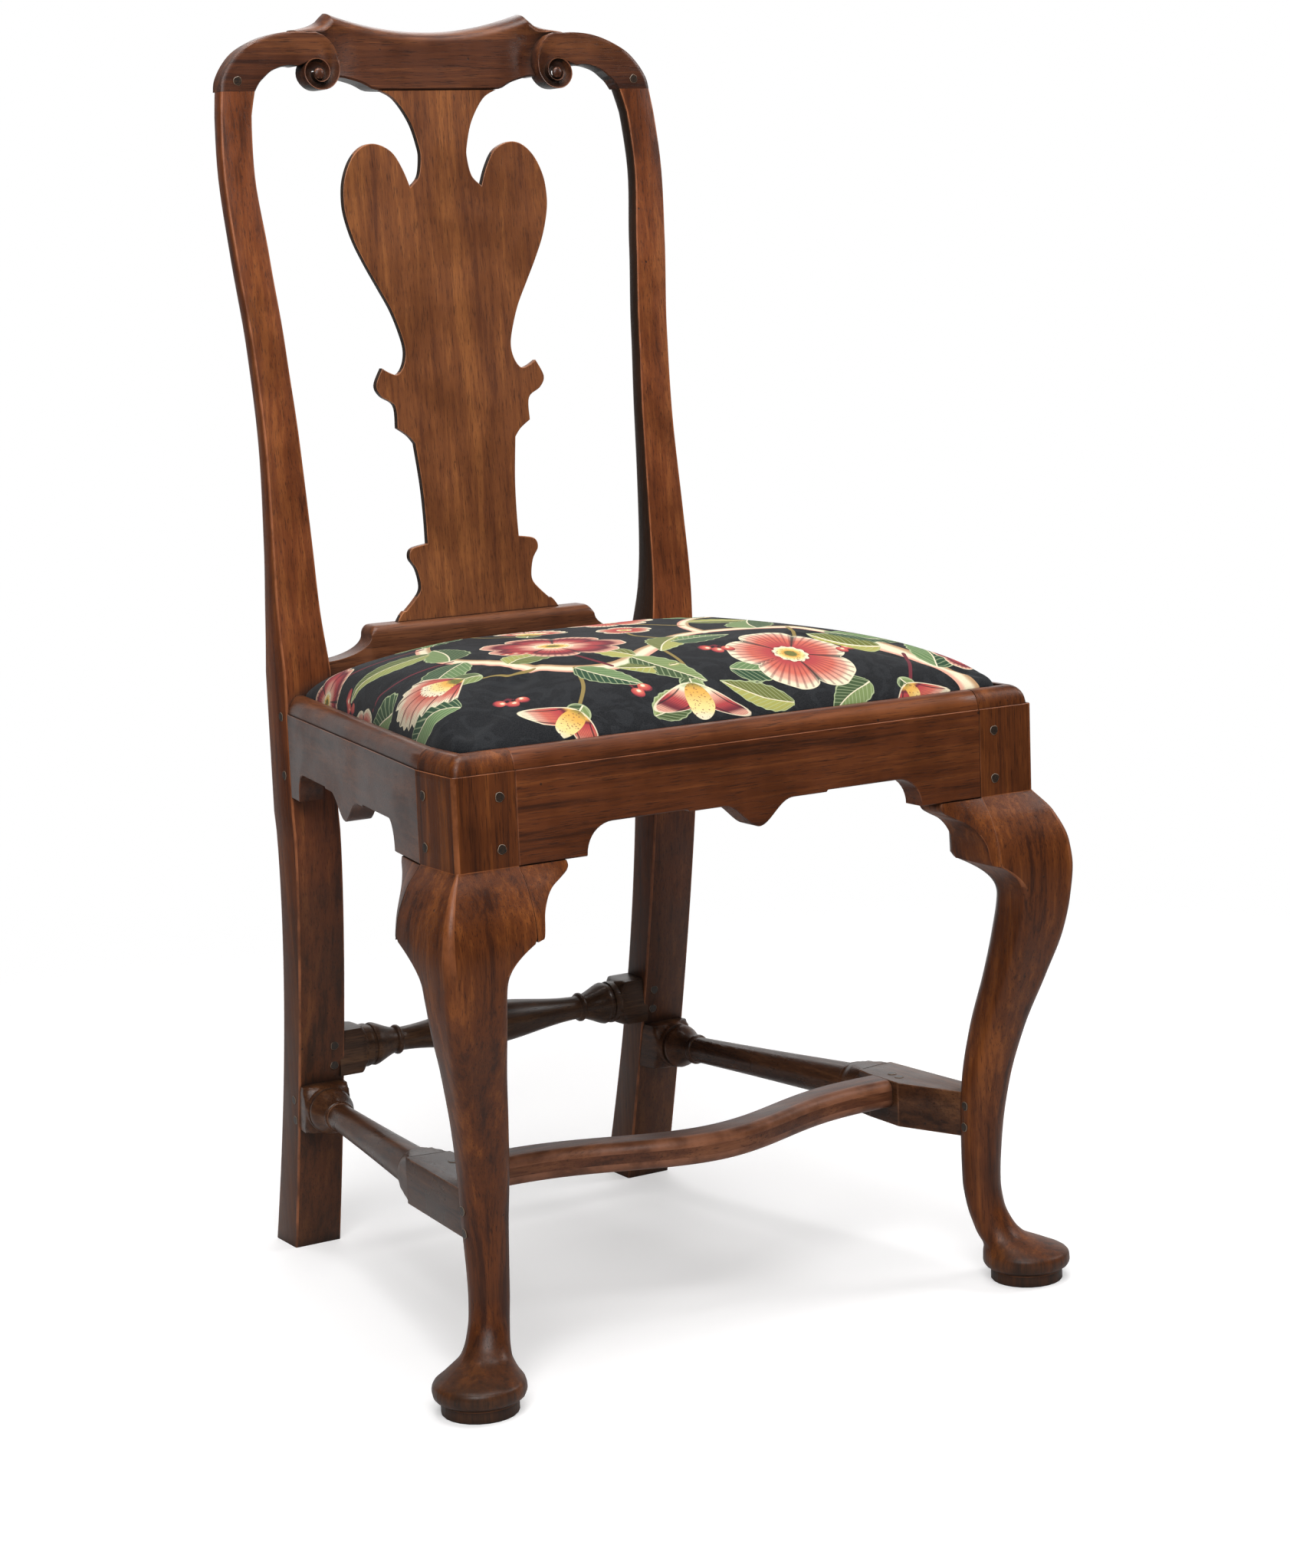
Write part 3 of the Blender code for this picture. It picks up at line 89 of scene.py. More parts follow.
def either(tree, share, one, two):
    """One shader or the other, by a share."""
    return fit(tree, "MixShader", {0: share, 1: one, 2: two}).outputs[0]


def emptied(holder):
    """The node tree of a world or a material, cleared."""
    holder.use_nodes = True
    holder.node_tree.nodes.clear()
    return holder.node_tree


def shown(name, bm):
    """Puts a mesh into the scene as an object."""
    data = bpy.data.meshes.new(name)
    bm.to_mesh(data)
    made = bpy.data.objects.new(name, data)
    scene.collection.objects.link(made)
    return made


# The room glows on its far side only, and is plain white where the lens looks straight at it.
scene.world = bpy.data.worlds.new("studio")
air = emptied(scene.world)
facing = fit(air, "TexCoord").outputs["Generated"]
toward = fit(air, "VectorMath", {0: facing, 1: FAR_SIDE}, operation="DOT_PRODUCT").outputs["Value"]
around = fit(air, "Background", {"Color": WHITE, "Strength": ranged(air, toward, 0.55, 0.92, 0.09, 0.90)})
behind = fit(air, "Background", {"Color": WHITE})
rays = fit(air, "LightPath").outputs
straight = sums(air, "MAXIMUM", rays["Is Camera Ray"], rays["Is Transmission Ray"])
fit(air, "OutputWorld", {"Surface": either(air, straight, around.outputs[0], behind.outputs[0])})
for name, place, aim, size, watts in (
        ("lamp_left", (-1.30, -1.90, 2.15), (0, 0, 0.70), 1.6, 66),
        ("lamp_right", (2.4, -0.8, 2.0), (0, 0, 0.60), 0.9, 22),
        ("lamp_over", (0.0, -0.2, 2.6), (0, 0, 0.5), 1.4, 42),
        ("lamp_back", (1.1, 2.1, 2.2), (0, 0.1, 0.7), 1.3, 11)):
    lamp = bpy.data.lights.new(name, "AREA")
    lamp.shape = "SQUARE"
    lamp.size = size
    lamp.energy = watts
    holder = bpy.data.objects.new(name, lamp)
    holder.location = place
    holder.rotation_euler = (Vector(aim) - Vector(place)).to_track_quat("-Z", "Y").to_euler()
    scene.collection.objects.link(holder)

bm = bmesh.new()
bmesh.ops.create_grid(bm, x_segments=2, y_segments=2, size=PAPER_HALF)
floor = shown("floor", bm)
bm.free()
paper = bpy.data.materials.new("studio_paper")
tree = emptied(paper)
place = fit(tree, "TexCoord").outputs["Object"]
away = fit(tree, "VectorMath", {0: place}, operation="LENGTH").outputs["Value"]
matt = fit(tree, "BsdfDiffuse", {"Color": (0.55, 0.55, 0.55, 1)}).outputs[0]
pale = fit(tree, "BsdfDiffuse", {"Color": (0.75, 0.74, 0.74, 1)}).outputs[0]
glow = fit(tree, "Emission", {"Strength": PAPER_GLOW}).outputs[0]
lifted = fit(tree, "AddShader", {0: pale, 1: glow}).outputs[0]
surface = either(tree, fit(tree, "LightPath").outputs["Is Camera Ray"], matt, lifted)
clear = fit(tree, "BsdfTransparent").outputs[0]
faded = either(tree, ranged(tree, away, FADE_FROM, FADE_TO), surface, clear)
fit(tree, "OutputMaterial", {"Surface": faded})
floor.data.materials.append(paper)

lens = bpy.data.cameras.new("camera")
lens.lens = LENS_MM
lens.sensor_fit = "VERTICAL"
lens.sensor_height = SENSOR_MM
camera = bpy.data.objects.new("camera", lens)
backward = Vector((sin(AZIMUTH) * cos(ELEVATION), -cos(AZIMUTH) * cos(ELEVATION), sin(ELEVATION)))
level = (-backward).cross(Vector((0, 0, 1))).normalized()
upright = level.cross(-backward)
across = cos(ROLL) * level + sin(ROLL) * upright
upward = cos(ROLL) * upright - sin(ROLL) * level
camera.matrix_world = Matrix((across, upward, backward)).transposed().to_4x4()
camera.matrix_world.translation = AIM + backward * DISTANCE
scene.collection.objects.link(camera)
scene.camera = camera


# Rear stiles: each is one walnut board from floor to crest, sawn to a raked, bowed curve, rectangular
# in section, with its back corners rounded over. The rails and stretchers are tenoned into them.
SIDES = (("left", -1), ("right", 1))
SEAT, FACE_TOP, RAIL_LOW = 0.468, 0.454, 0.387
FRONT = -0.2327
STILE_FRONT, STILE_OUT = 0.1533, 0.1905
STILE_WIDE, STILE_DEEP = 0.041, 0.038
FOOT_DEEP, FOOT_HOLLOW = 0.040, 0.0065
FOOT_RAKE, FOOT_SPLAY, BACK_RAKE = 0.062, 0.009, 0.0445
SQUARE_LOW, SQUARE_TOP, CREST_JOINT = 0.372, 0.485, 0.938
STILE_BOW = (
    # share of the height above the seat, bow outwards, width, depth
    (0.00, 0.0000, STILE_WIDE, STILE_DEEP),
    (0.10, 0.0015, 0.0380, 0.0265),
    (0.22, 0.0000, 0.0350, 0.0200),
    (0.40, -0.0023, 0.0303, 0.0165),
    (0.56, 0.0000, 0.0286, 0.0155),
    (0.72, 0.0060, 0.0288, 0.0150),
    (0.86, 0.0093, 0.0268, 0.0150),
    (0.95, 0.0072, 0.0268, 0.0155),
    (1.00, 0.0043, 0.0293, 0.0160),
)


def between(table, at):
    """Smooth row of a station table at a value of its first column, without overshoot."""
    rows = sorted(table)
    at = min(max(at, rows[0][0]), rows[-1][0])
    k = 0
    while k < len(rows) - 2 and at > rows[k + 1][0]:
        k += 1

    def slope(i, c):
        steps = []
        for j in (i - 1, i):
            if 0 <= j < len(rows) - 1:
                steps.append((rows[j + 1][c] - rows[j][c]) / (rows[j + 1][0] - rows[j][0]))
        if len(steps) == 1:
            return steps[0]
        return 0.0 if steps[0] * steps[1] <= 0 else 2 * steps[0] * steps[1] / (steps[0] + steps[1])

    wide = rows[k + 1][0] - rows[k][0]
    t = (at - rows[k][0]) / wide
    row = []
    for c in range(1, len(rows[k])):
        p, q = rows[k][c], rows[k + 1][c]
        m, n = slope(k, c) * wide, slope(k + 1, c) * wide
        row.append(p * (1 + 2 * t) * (1 - t) ** 2 + m * t * (1 - t) ** 2
                   + q * t * t * (3 - 2 * t) + n * t * t * (t - 1))
    return row


def drawn_out(bm, rings):
    """Extrudes a first ring of points through the places of the following rings and closes both ends."""
    ring = [bm.verts.new(p) for p in rings[0]]
    edges = [bm.edges.new(pair) for pair in zip(ring, ring[1:] + ring[:1])]
    loops = [ring]
    bm.faces.new(ring)
    for points in rings[1:]:
        made = bmesh.ops.extrude_edge_only(bm, edges=edges)["geom"]
        fresh = {v for v in made if isinstance(v, bmesh.types.BMVert)}
        following = []
        for vert, point in zip(ring, points):
            step = next(e.other_vert(vert) for e in vert.link_edges if e.other_vert(vert) in fresh)
            step.co = point
            following.append(step)
        ring = following
        edges = [bm.edges.get(pair) for pair in zip(ring, ring[1:] + ring[:1])]
        loops.append(ring)
    bm.faces.new(ring)
    return loops


def runs(bm, loops, *corners):
    """Edges that run lengthwise along some corners of a drawn-out piece."""
    return [bm.edges.get((a[k], b[k])) for k in corners for a, b in zip(loops, loops[1:])]


def marked(bm, layer, faces):
    """Marks faces on a layer that their finish reads."""
    mark = bm.loops.layers.float.get(layer) or bm.loops.layers.float.new(layer)
    for face in faces:
        for corner in face.loops:
            corner[mark] = 1.0


def eased(bm, edges, width, segments=2):
    """Rounds edges off and marks the new faces for wear and a painted highlight."""
    made = bmesh.ops.bevel(bm, geom=edges, offset=width, offset_type="OFFSET", affect="EDGES",
                           segments=segments, profile=0.5, material=-1, clamp_overlap=False)
    marked(bm, "wear_and_highlight", [face for face in made["faces"] if face.is_valid])


def marked_for_painted_shade(bm, facing, low):
    """Marks faces above a height that look one way, for a painted shade that turns them nearly black."""
    bmesh.ops.recalc_face_normals(bm, faces=bm.faces)
    marked(bm, "painted_side_shade", [face for face in bm.faces
                        if face.normal.dot(Vector(facing)) > 0.75 and face.calc_center_median().z > low])


def piece(name, bm, material, nodes, body, sharp=35):
    """Closes up a mesh, marks its narrow edges for wear and a painted highlight, gives it its finish and
    sets it on its body.
    """
    bmesh.ops.remove_doubles(bm, verts=bm.verts, dist=1e-6)
    bmesh.ops.recalc_face_normals(bm, faces=bm.faces)
    narrow = []
    for face in bm.faces:
        longest = max(face.edges, key=lambda edge: edge.calc_length())
        if face.calc_area() < 0.0009 * longest.calc_length() and longest.calc_face_angle(0.0) > 0.15:
            narrow.append(face)
    marked(bm, "wear_and_highlight", narrow)
    made = shown(name, bm)
    bm.free()
    made.data.shade_smooth()
    made.data.set_sharp_from_angle(angle=radians(sharp))
    made.data.materials.append(material)
    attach(made, body)
    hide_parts(*nodes)
    return made


def noise(tree, at, scale, detail=3.0, rough=0.55, warp=0.0):
    sockets = {"Vector": at, "Scale": scale, "Detail": detail, "Roughness": rough, "Distortion": warp}
    return fit(tree, "TexNoise", sockets).outputs["Fac"]


def times(tree, one, two):
    return sums(tree, "MULTIPLY", one, two)


def painted(tree, layer):
    """Values that the mesh carries on a layer."""
    return fit(tree, "Attribute", attribute_name=layer).outputs["Fac"]


def stretched(tree, place, lengths, shift=(0, 0, 0)):
    """Places drawn out along the grain."""
    return fit(tree, "Mapping", {"Vector": place, "Scale": lengths, "Location": shift}).outputs[0]


def bumped(tree, height, strength, distance, **under):
    sockets = {"Height": height, "Strength": strength, "Distance": distance, **under}
    return fit(tree, "Bump", sockets).outputs[0]


def laid(tree, share, under, top):
    """Lays one colour over another by a share."""
    under = under if isinstance(under, bpy.types.NodeSocket) else (*under, 1)
    top = top if isinstance(top, bpy.types.NodeSocket) else (*top, 1)
    return fit(tree, "Mix", {0: share, 6: under, 7: top}, data_type="RGBA").outputs[2]


def shades(tree, value, *stops):
    """Colours at places along a value."""
    ramp = fit(tree, "ValToRGB", {"Fac": value})
    ramp.color_ramp.interpolation = "EASE"
    while len(ramp.color_ramp.elements) < len(stops):
        ramp.color_ramp.elements.new(0.5)
    for element, (place, colour) in zip(ramp.color_ramp.elements, stops):
        element.position, element.color = place, (*colour, 1)
    return ramp.outputs["Color"]


def finish(name):
    """A new material, its tree, its shader and the places on the piece."""
    material = bpy.data.materials.new(name)
    material.use_nodes = True
    tree = material.node_tree
    return material, tree, tree.nodes["Principled BSDF"], fit(tree, "TexCoord").outputs["Object"]


def walnut(name, dark, mid, light, grain, gloss, seed, ribbons=0.5, shine=0.32, soil=None):
    """Old waxed walnut: long figure, ribbons and open pores along the grain, pits, painted shade and grime
    in corners, and worn arrises that also carry a painted highlight.
    Soil gives the heights between which the wood darkens towards the bottom, and how much: painted shade
    below the seat on the stiles, floor dirt near the feet."""
    material, tree, shader, place = finish(name)
    shift = (0.37 * seed, 0.53 * seed, 0.71 * seed)
    along = stretched(tree, place, [0.035 if axis == grain else 1 for axis in "XYZ"], shift)
    fine = stretched(tree, place, [0.042 if axis == grain else 1 for axis in "XYZ"], shift)
    figure = noise(tree, along, 42, 3, 0.55, 0.7)
    ribbon = noise(tree, along, 210, 5, 0.70, 0.25)
    pores = ranged(tree, noise(tree, fine, 1350, 2, 0.6), 0.555, 0.67)
    patina = noise(tree, place, 13, 4, 0.6)
    tone = fit(tree, "Mix", {0: ribbons, 2: figure, 3: ribbon}).outputs[0]
    colour = shades(tree, tone, (0.37, dark), (0.495, mid), (0.61, light))
    colour = laid(tree, ranged(tree, patina, 0.34, 0.60, 0.42, 0.0), colour, [c * 0.62 for c in dark])
    colour = laid(tree, times(tree, pores, 0.62), colour, [c * 0.30 for c in dark])
    if soil:
        # Darker towards the bottom: painted shade below the seat, and floor dirt near the feet.
        low, high, share = soil
        height = fit(tree, "SeparateXYZ", {"Vector": place}).outputs["Z"]
        cloudy = sums(tree, "ADD", height, times(tree, patina, 0.10))
        low_shade_and_dirt = ranged(tree, cloudy, low + 0.05, high + 0.05, share, 0.0)
        colour = laid(tree, low_shade_and_dirt, colour, (0.020, 0.019, 0.014))
    spots = fit(tree, "TexVoronoi", {"Vector": place, "Scale": 62.0}).outputs["Distance"]
    rare = ranged(tree, noise(tree, place, 19, 2), 0.56, 0.62)
    pits = times(tree, ranged(tree, spots, 0.035, 0.085, 1.0, 0.0), rare)
    colour = laid(tree, times(tree, pits, 0.85), colour, (0.012, 0.008, 0.006))
    # Worn arrises: lighter where rubbed, and partly a painted highlight along edges and rims.
    patchy = ranged(tree, noise(tree, place, 50, 3), 0.30, 0.70, 0.10, 0.58)
    rubbed_and_highlit = times(tree, painted(tree, "wear_and_highlight"), patchy)
    colour = laid(tree, rubbed_and_highlit, colour, [min(c * 1.7 + 0.03, 1.0) for c in light])
    # Painted shade: the marked faces on the inner sides of the stiles, under the crest and along the splat's
    # edges go nearly black.
    colour = laid(tree, times(tree, painted(tree, "painted_side_shade"), 0.86), colour, (0.011, 0.009, 0.006))
    # Painted shade, with some grime: the colour darkens where other surfaces come close, in corners,
    # recesses and joints.
    corner = fit(tree, "AmbientOcclusion", {"Distance": 0.014}, samples=6).outputs["AO"]
    corner_shade_and_grime = ranged(tree, corner, 0.25, 0.85, 0.86, 0.0)
    colour = laid(tree, corner_shade_and_grime, colour, (0.010, 0.008, 0.006))
    waxed = ranged(tree, patina, 0.3, 0.7, gloss - 0.06, gloss + 0.08)
    deep = sums(tree, "ADD", times(tree, pores, -0.6), times(tree, ribbon, 0.5))
    deep = sums(tree, "SUBTRACT", deep, times(tree, pits, 1.5))
    grained = bumped(tree, deep, 0.22, 0.0005)
    plug(tree, shader, {
        "Base Color": colour,
        "Roughness": sums(tree, "ADD", waxed, times(tree, corner_shade_and_grime, 0.25)),
        "Specular IOR Level": shine,
        "Normal": bumped(tree, noise(tree, along, 24, 2), 0.20, 0.0022, Normal=grained),
    })
    return material


def stile_at(z):
    """Outer face, front face, width and depth of a stile at one height."""
    if z <= SQUARE_LOW:
        up = z / SQUARE_LOW
        depth = FOOT_DEEP + (STILE_DEEP - FOOT_DEEP) * up - FOOT_HOLLOW * sin(pi * up)
        front = STILE_FRONT + FOOT_RAKE * (1 - up) ** 1.35
        return STILE_OUT - FOOT_SPLAY * (1 - up) ** 0.65, front, STILE_WIDE, depth
    if z <= SQUARE_TOP:
        return STILE_OUT, STILE_FRONT, STILE_WIDE, STILE_DEEP
    up = (z - SQUARE_TOP) / (CREST_JOINT - SQUARE_TOP)
    bow, wide, depth = between(STILE_BOW, up)
    return STILE_OUT + bow, STILE_FRONT + BACK_RAKE * up ** 1.15, wide, depth


# The stiles' soil darkens them below the seat as painted shade.
walnut_upright = walnut(
    "walnut_upright", dark=(0.075, 0.020, 0.007), mid=(0.175, 0.046, 0.013), light=(0.270, 0.082, 0.022),
    grain="Z", gloss=0.38, seed=1.0, soil=(0.16, 0.44, 0.52))
heights = [SQUARE_LOW * k / 24 for k in range(25)] + [0.400, 0.428, 0.456, 0.470]
heights += [SQUARE_TOP + (CREST_JOINT - SQUARE_TOP) * k / 48 for k in range(49)]
for word, side in SIDES:
    rings = []
    for z in heights:
        x, y, wide, depth = stile_at(z)
        corners = ((x, y), (x, y + depth), (x - wide, y + depth), (x - wide, y))
        rings.append([(side * a, b, z) for a, b in corners])
    bm = bmesh.new()
    loops = drawn_out(bm, rings)
    eased(bm, runs(bm, loops, 0, 3), 0.0016)
    eased(bm, runs(bm, loops, 1, 2), 0.0040, 3)
    # Painted shade on the inner faces above the seat.
    marked_for_painted_shade(bm, (-side, 0, 0), SEAT + 0.03)
    piece(f"stile_{word}", bm, walnut_upright, [f"{word}_rear_stile"], "frame")


# Crest rail: one thick walnut board. The middle is a yoke with a rolled top; at each side a flat band
# comes up from the stile, turns over a round shoulder and winds into a carved scroll with a button.
CREST_FACE, CREST_LEAN, RECESS = 0.1978, 0.105, 0.008
SCROLL = (0.1085, 0.9515)
SCROLL_WIND = (
    # angle in degrees, radius of the rim
    (50, 0.0340), (90, 0.0325), (121, 0.0270), (150, 0.0212), (175, 0.0184), (220, 0.0148), (270, 0.0128),
    (315, 0.0130), (360, 0.0138), (395, 0.0138), (430, 0.0132), (509, 0.0106), (594, 0.0072),
    (680, 0.0056), (760, 0.0046),
)
SHOULDER = (
    # outer edge, then the edge of the arch below, as x and z
    (0.1948, 0.9381, 0.1655, 0.9381),
    (0.1930, 0.9470, 0.1615, 0.9440),
    (0.1865, 0.9580, 0.1576, 0.9477),
    (0.1770, 0.9680, 0.1501, 0.9535),
    (0.1646, 0.9753, 0.1400, 0.9570),
    (0.1500, 0.9810, 0.1325, 0.9578),
    (0.1360, 0.9837, 0.1270, 0.9573),
    (0.1210, 0.9844, 0.1196, 0.9596),
)
BAND_BACK = 0.016
BAND_HOLLOW = (
    # share of the way across the band, share of the hollow's depth
    (0.04, 0.0), (0.13, 0.03), (0.20, 0.22), (0.34, 0.62), (0.55, 0.90), (0.8, 1.0), (0.97, 0.95),
)
SCROLL_HOLLOW, BUTTON = 0.0066, 0.0046
PEAK, DIP_Z, PEAK_RISE = 0.0882, 0.9857, 0.0146
YOKE_BACK, YOKE_ROLL, ARRIS = 0.02079, 0.0188, 0.0016
ROLL_TALL, ROLL_LOSS, COVE_DEEP = 0.0095, 0.0068, 0.0042


def crest_face(z):
    """Front of the leaning crest at one height."""
    return CREST_FACE + CREST_LEAN * (z - CREST_JOINT)


def smooth(low, high, at):
    """Rises softly from 0 to 1 between two places."""
    t = min(max((at - low) / (high - low), 0.0), 1.0)
    return t * t * (3 - 2 * t)


def through(points, steps):
    """Smooth curve through a few points, both ends kept."""
    ends = [points[0]] + list(points) + [points[-1]]
    line = []
    for a, b, c, d in zip(ends, ends[1:], ends[2:], ends[3:]):
        for k in range(steps):
            t = k / steps
            line.append(tuple(0.5 * (2 * q + (r - p) * t + (2 * p - 5 * q + 4 * r - s) * t * t
                                     + (3 * q - p - 3 * r + s) * t ** 3)
                              for p, q, r, s in zip(a, b, c, d)))
    return line + [tuple(points[-1])]


def height_at(line, x):
    """Height of a line of points over one place."""
    for (a, p), (b, q) in zip(line, line[1:]):
        if a <= x <= b:
            return p + (q - p) * (x - a) / (b - a)
    return line[-1][1]


def mirrored(half):
    """Places on both sides of the middle, from those on one side."""
    return [-x for x in reversed(half[1:])] + half


walnut_crest = walnut(
    "walnut_crest", dark=(0.034, 0.011, 0.006), mid=(0.083, 0.025, 0.010), light=(0.156, 0.051, 0.017),
    grain="X", gloss=0.36, seed=2.0)
bm = bmesh.new()
for side in (-1, 1):
    strip = [(*edges, 0.0) for edges in through(SHOULDER, 4)[:-1]]
    for angle in range(78, 750, 12):
        rim = between(SCROLL_WIND, angle)[0]
        core = (between(SCROLL_WIND, angle + 360)[0] if angle < 400 else 0.0040) - 0.0004
        c, s = cos(radians(angle)), sin(radians(angle))
        hollow = SCROLL_HOLLOW * smooth(80, 190, angle) * (1 - 0.45 * smooth(420, 700, angle))
        outer = (SCROLL[0] + rim * c, SCROLL[1] + rim * s)
        strip.append((*outer, SCROLL[0] + core * c, SCROLL[1] + core * s, hollow))
    rings = []
    for ox, oz, ix, iz, hollow in strip:
        ring = [(ox, oz, BAND_BACK), (ox, oz, 0.0010)]
        for u, lift in BAND_HOLLOW:
            ring.append((ox + (ix - ox) * u, oz + (iz - oz) * u, hollow * lift))
        ring += [(ix, iz, hollow * 0.9 + 0.0010), (ix, iz, BAND_BACK)]
        rings.append([(side * x, crest_face(z) + deep, z) for x, z, deep in ring])
    drawn_out(bm, rings)
    button = bmesh.ops.create_uvsphere(bm, u_segments=20, v_segments=10, radius=BUTTON)["verts"]
    bmesh.ops.scale(bm, verts=button, vec=(1, 0.55, 1))
    bmesh.ops.translate(bm, verts=button, vec=(side * SCROLL[0], crest_face(SCROLL[1]) + 0.0022, SCROLL[1]))
yoke_low = through([(0.0, 0.9385), (0.030, 0.9385), (0.053, 0.9388), (0.060, 0.9402), (0.067, 0.9440),
                    (0.078, 0.9473), (0.086, 0.9489), (0.093, 0.9487)], 4)
yoke_low += [(0.098, 0.953), (0.106, 0.962), (0.114, 0.970), (0.1208, 0.978)]
yoke_end = through([(PEAK, 1.0003), (0.0926, 0.9967), (0.0971, 0.9928), (0.1047, 0.9898), (0.1138, 0.9878),
                    (0.1208, 0.9868)], 3)
half = [0.088 * k / 22 for k in range(23)] + [PEAK]
half += [0.0900, 0.0926, 0.0955, 0.0985, 0.1015, 0.1047, 0.1085, 0.1120, 0.1165, 0.1208]
rings = []
for x in mirrored(half):
    far = abs(x)
    low = height_at(yoke_low, far)
    ridge = DIP_Z + PEAK_RISE * (far / PEAK) ** 2 if far <= PEAK else height_at(yoke_end, far)
    brow = ridge - ROLL_TALL + ROLL_LOSS * smooth(PEAK, 0.1150, far)
    cove = COVE_DEEP * smooth(0.066, 0.090, far)
    ring = [(low, YOKE_BACK), (low, ARRIS), (low + ARRIS, 0.0)]
    for u in (0.2, 0.4, 0.6, 0.8, 0.94):
        z = low + ARRIS + (brow - low - ARRIS) * u
        ring.append((z, cove * sin(pi * min(u * 0.75 + 0.2, 1))))
    for k in range(10):
        a = pi / 2 * k / 9
        ring.append((brow + (ridge - brow) * sin(a), YOKE_ROLL * (1 - cos(a))))
    ring.append((ridge - 0.0010, 0.0208))
    rings.append([(x, crest_face(z) + RECESS + deep, z) for z, deep in ring])
drawn_out(bm, rings)
# Painted shade under the crest.
marked_for_painted_shade(bm, (0, 0, -1), CREST_JOINT)
piece("crest", bm, walnut_crest, ["crest_rail"], "frame", 40)


# Splat: a thin walnut board sawn to heart-shaped shoulders, spurs and a vase foot. Its front edges are
# only just eased and its back edges are chamfered. It stands in the shoe and is tenoned in the crest.
SPLAT_FOOT, SPLAT_FOOT_FACE = 0.5145, 0.1793
SPLAT_THICK = 0.0065
SPLAT_DRAWN = 0.420
SPLAT_CURVES = (
    # steps between points, whether the first point repeats the last curve's end, points as x and height
    (2, 0, ((0.0755, 0.0), (0.0720, 0.005), (0.0690, 0.008))),
    (6, 0, ((0.0668, 0.0083), (0.0590, 0.0155), (0.0530, 0.0225), (0.0519, 0.0295), (0.0545, 0.0410),
            (0.0599, 0.0499), (0.0570, 0.0575), (0.0430, 0.0604))),
    (4, 0, ((0.0426, 0.0606), (0.0424, 0.082), (0.0434, 0.109), (0.0466, 0.141))),
    (4, 1, ((0.0466, 0.141), (0.0520, 0.1475), (0.0614, 0.1540))),
    (6, 0, ((0.0614, 0.1545), (0.0622, 0.172), (0.0735, 0.1800), (0.0777, 0.189), (0.0710, 0.2022))),
    (6, 1, ((0.0710, 0.2022), (0.0640, 0.1982), (0.0570, 0.1968), (0.0512, 0.2040), (0.0489, 0.2150),
            (0.0514, 0.2280), (0.0582, 0.2470), (0.0680, 0.2655), (0.0780, 0.284), (0.0866, 0.3025),
            (0.0920, 0.321), (0.0933, 0.335), (0.0912, 0.351), (0.0840, 0.3665), (0.0730, 0.3765),
            (0.0605, 0.3784), (0.0470, 0.3720), (0.0385, 0.3590), (0.0326, 0.344))),
    (6, 1, ((0.0326, 0.344), (0.0245, 0.3520), (0.0214, 0.366), (0.0222, 0.376), (0.0281, 0.395),
            (0.0403, 0.413), (0.053, 0.4200))),
)


def splat_face(z):
    """Front of the leaning board at one height."""
    up = (z - SPLAT_FOOT) / (CREST_JOINT - SPLAT_FOOT)
    return SPLAT_FOOT_FACE + (CREST_FACE + RECESS - SPLAT_FOOT_FACE) * up


def drawn_in(line, amount):
    """A closed outline moved inwards by the same amount all round."""
    inner = []
    for (a, p), (b, q), (c, r) in zip(line[-1:] + line[:-1], line, line[1:] + line[:1]):
        one, two = Vector((b - a, q - p)).normalized(), Vector((c - b, r - q)).normalized()
        turn = Vector((-one.y - two.y, one.x + two.x))
        turn = turn.normalized() / max(turn.length / 2, 0.5)
        inner.append((b + turn.x * amount, q + turn.y * amount))
    return inner


splat_tall = CREST_JOINT + 0.0004 - SPLAT_FOOT
splat_half = []
for steps, repeat, points in SPLAT_CURVES:
    for x, z in through(points, steps)[repeat:]:
        splat_half.append((x, SPLAT_FOOT + z * splat_tall / SPLAT_DRAWN))
outline = splat_half + [(-x, z) for x, z in reversed(splat_half)]
rings = []
for amount, deep in ((0.0007, 0.0), (0.0002, 0.0002), (0.0, 0.0007), (0.0, SPLAT_THICK - 0.0012),
                     (0.0008, SPLAT_THICK)):
    rings.append([(x, splat_face(z) + deep, z) for x, z in drawn_in(outline, amount)])
bm = bmesh.new()
drawn_out(bm, rings)
# Painted shade on the splat's side edges.
marked_for_painted_shade(bm, (-1, 0, 0), SPLAT_FOOT)
marked_for_painted_shade(bm, (1, 0, 0), SPLAT_FOOT)
walnut_splat = walnut(
    "walnut_splat", dark=(0.110, 0.034, 0.013), mid=(0.182, 0.059, 0.019), light=(0.275, 0.096, 0.028),
    grain="Z", gloss=0.40, seed=3.0, ribbons=0.55)
piece("splat_board", bm, walnut_splat, ["splat"], "frame", 14)


# Shoe: a walnut block glued on the rear rail that takes the foot of the splat. A quarter-round band runs
# along its top over a plain face, returns at each end and sweeps down to the stiles in a hollow.
SHOE_FRONT, SHOE_DEEP = 0.1698, 0.020
SHOE_TOP, SHOE_BROW, SHOE_SILL = 0.5145, 0.5065, 0.4895
SHOE_TURN, SHOE_HALF, SHOE_REACH = 0.097, 0.104, 0.1492
SHOE_ROUND, SHOE_END = 0.0080, 0.007
walnut_shoe = walnut(
    "walnut_shoe", dark=(0.049, 0.016, 0.008), mid=(0.099, 0.033, 0.014), light=(0.162, 0.056, 0.022),
    grain="X", gloss=0.34, seed=4.0)
half = [0.0, 0.05, 0.09] + [SHOE_TURN + SHOE_END * sin(a * pi / 16) for a in range(9)] + [0.1042]
sweep = SHOE_REACH - SHOE_HALF
half += [SHOE_HALF + sweep * (1 - cos(a * pi / 28)) for a in range(2, 15)]
rings = []
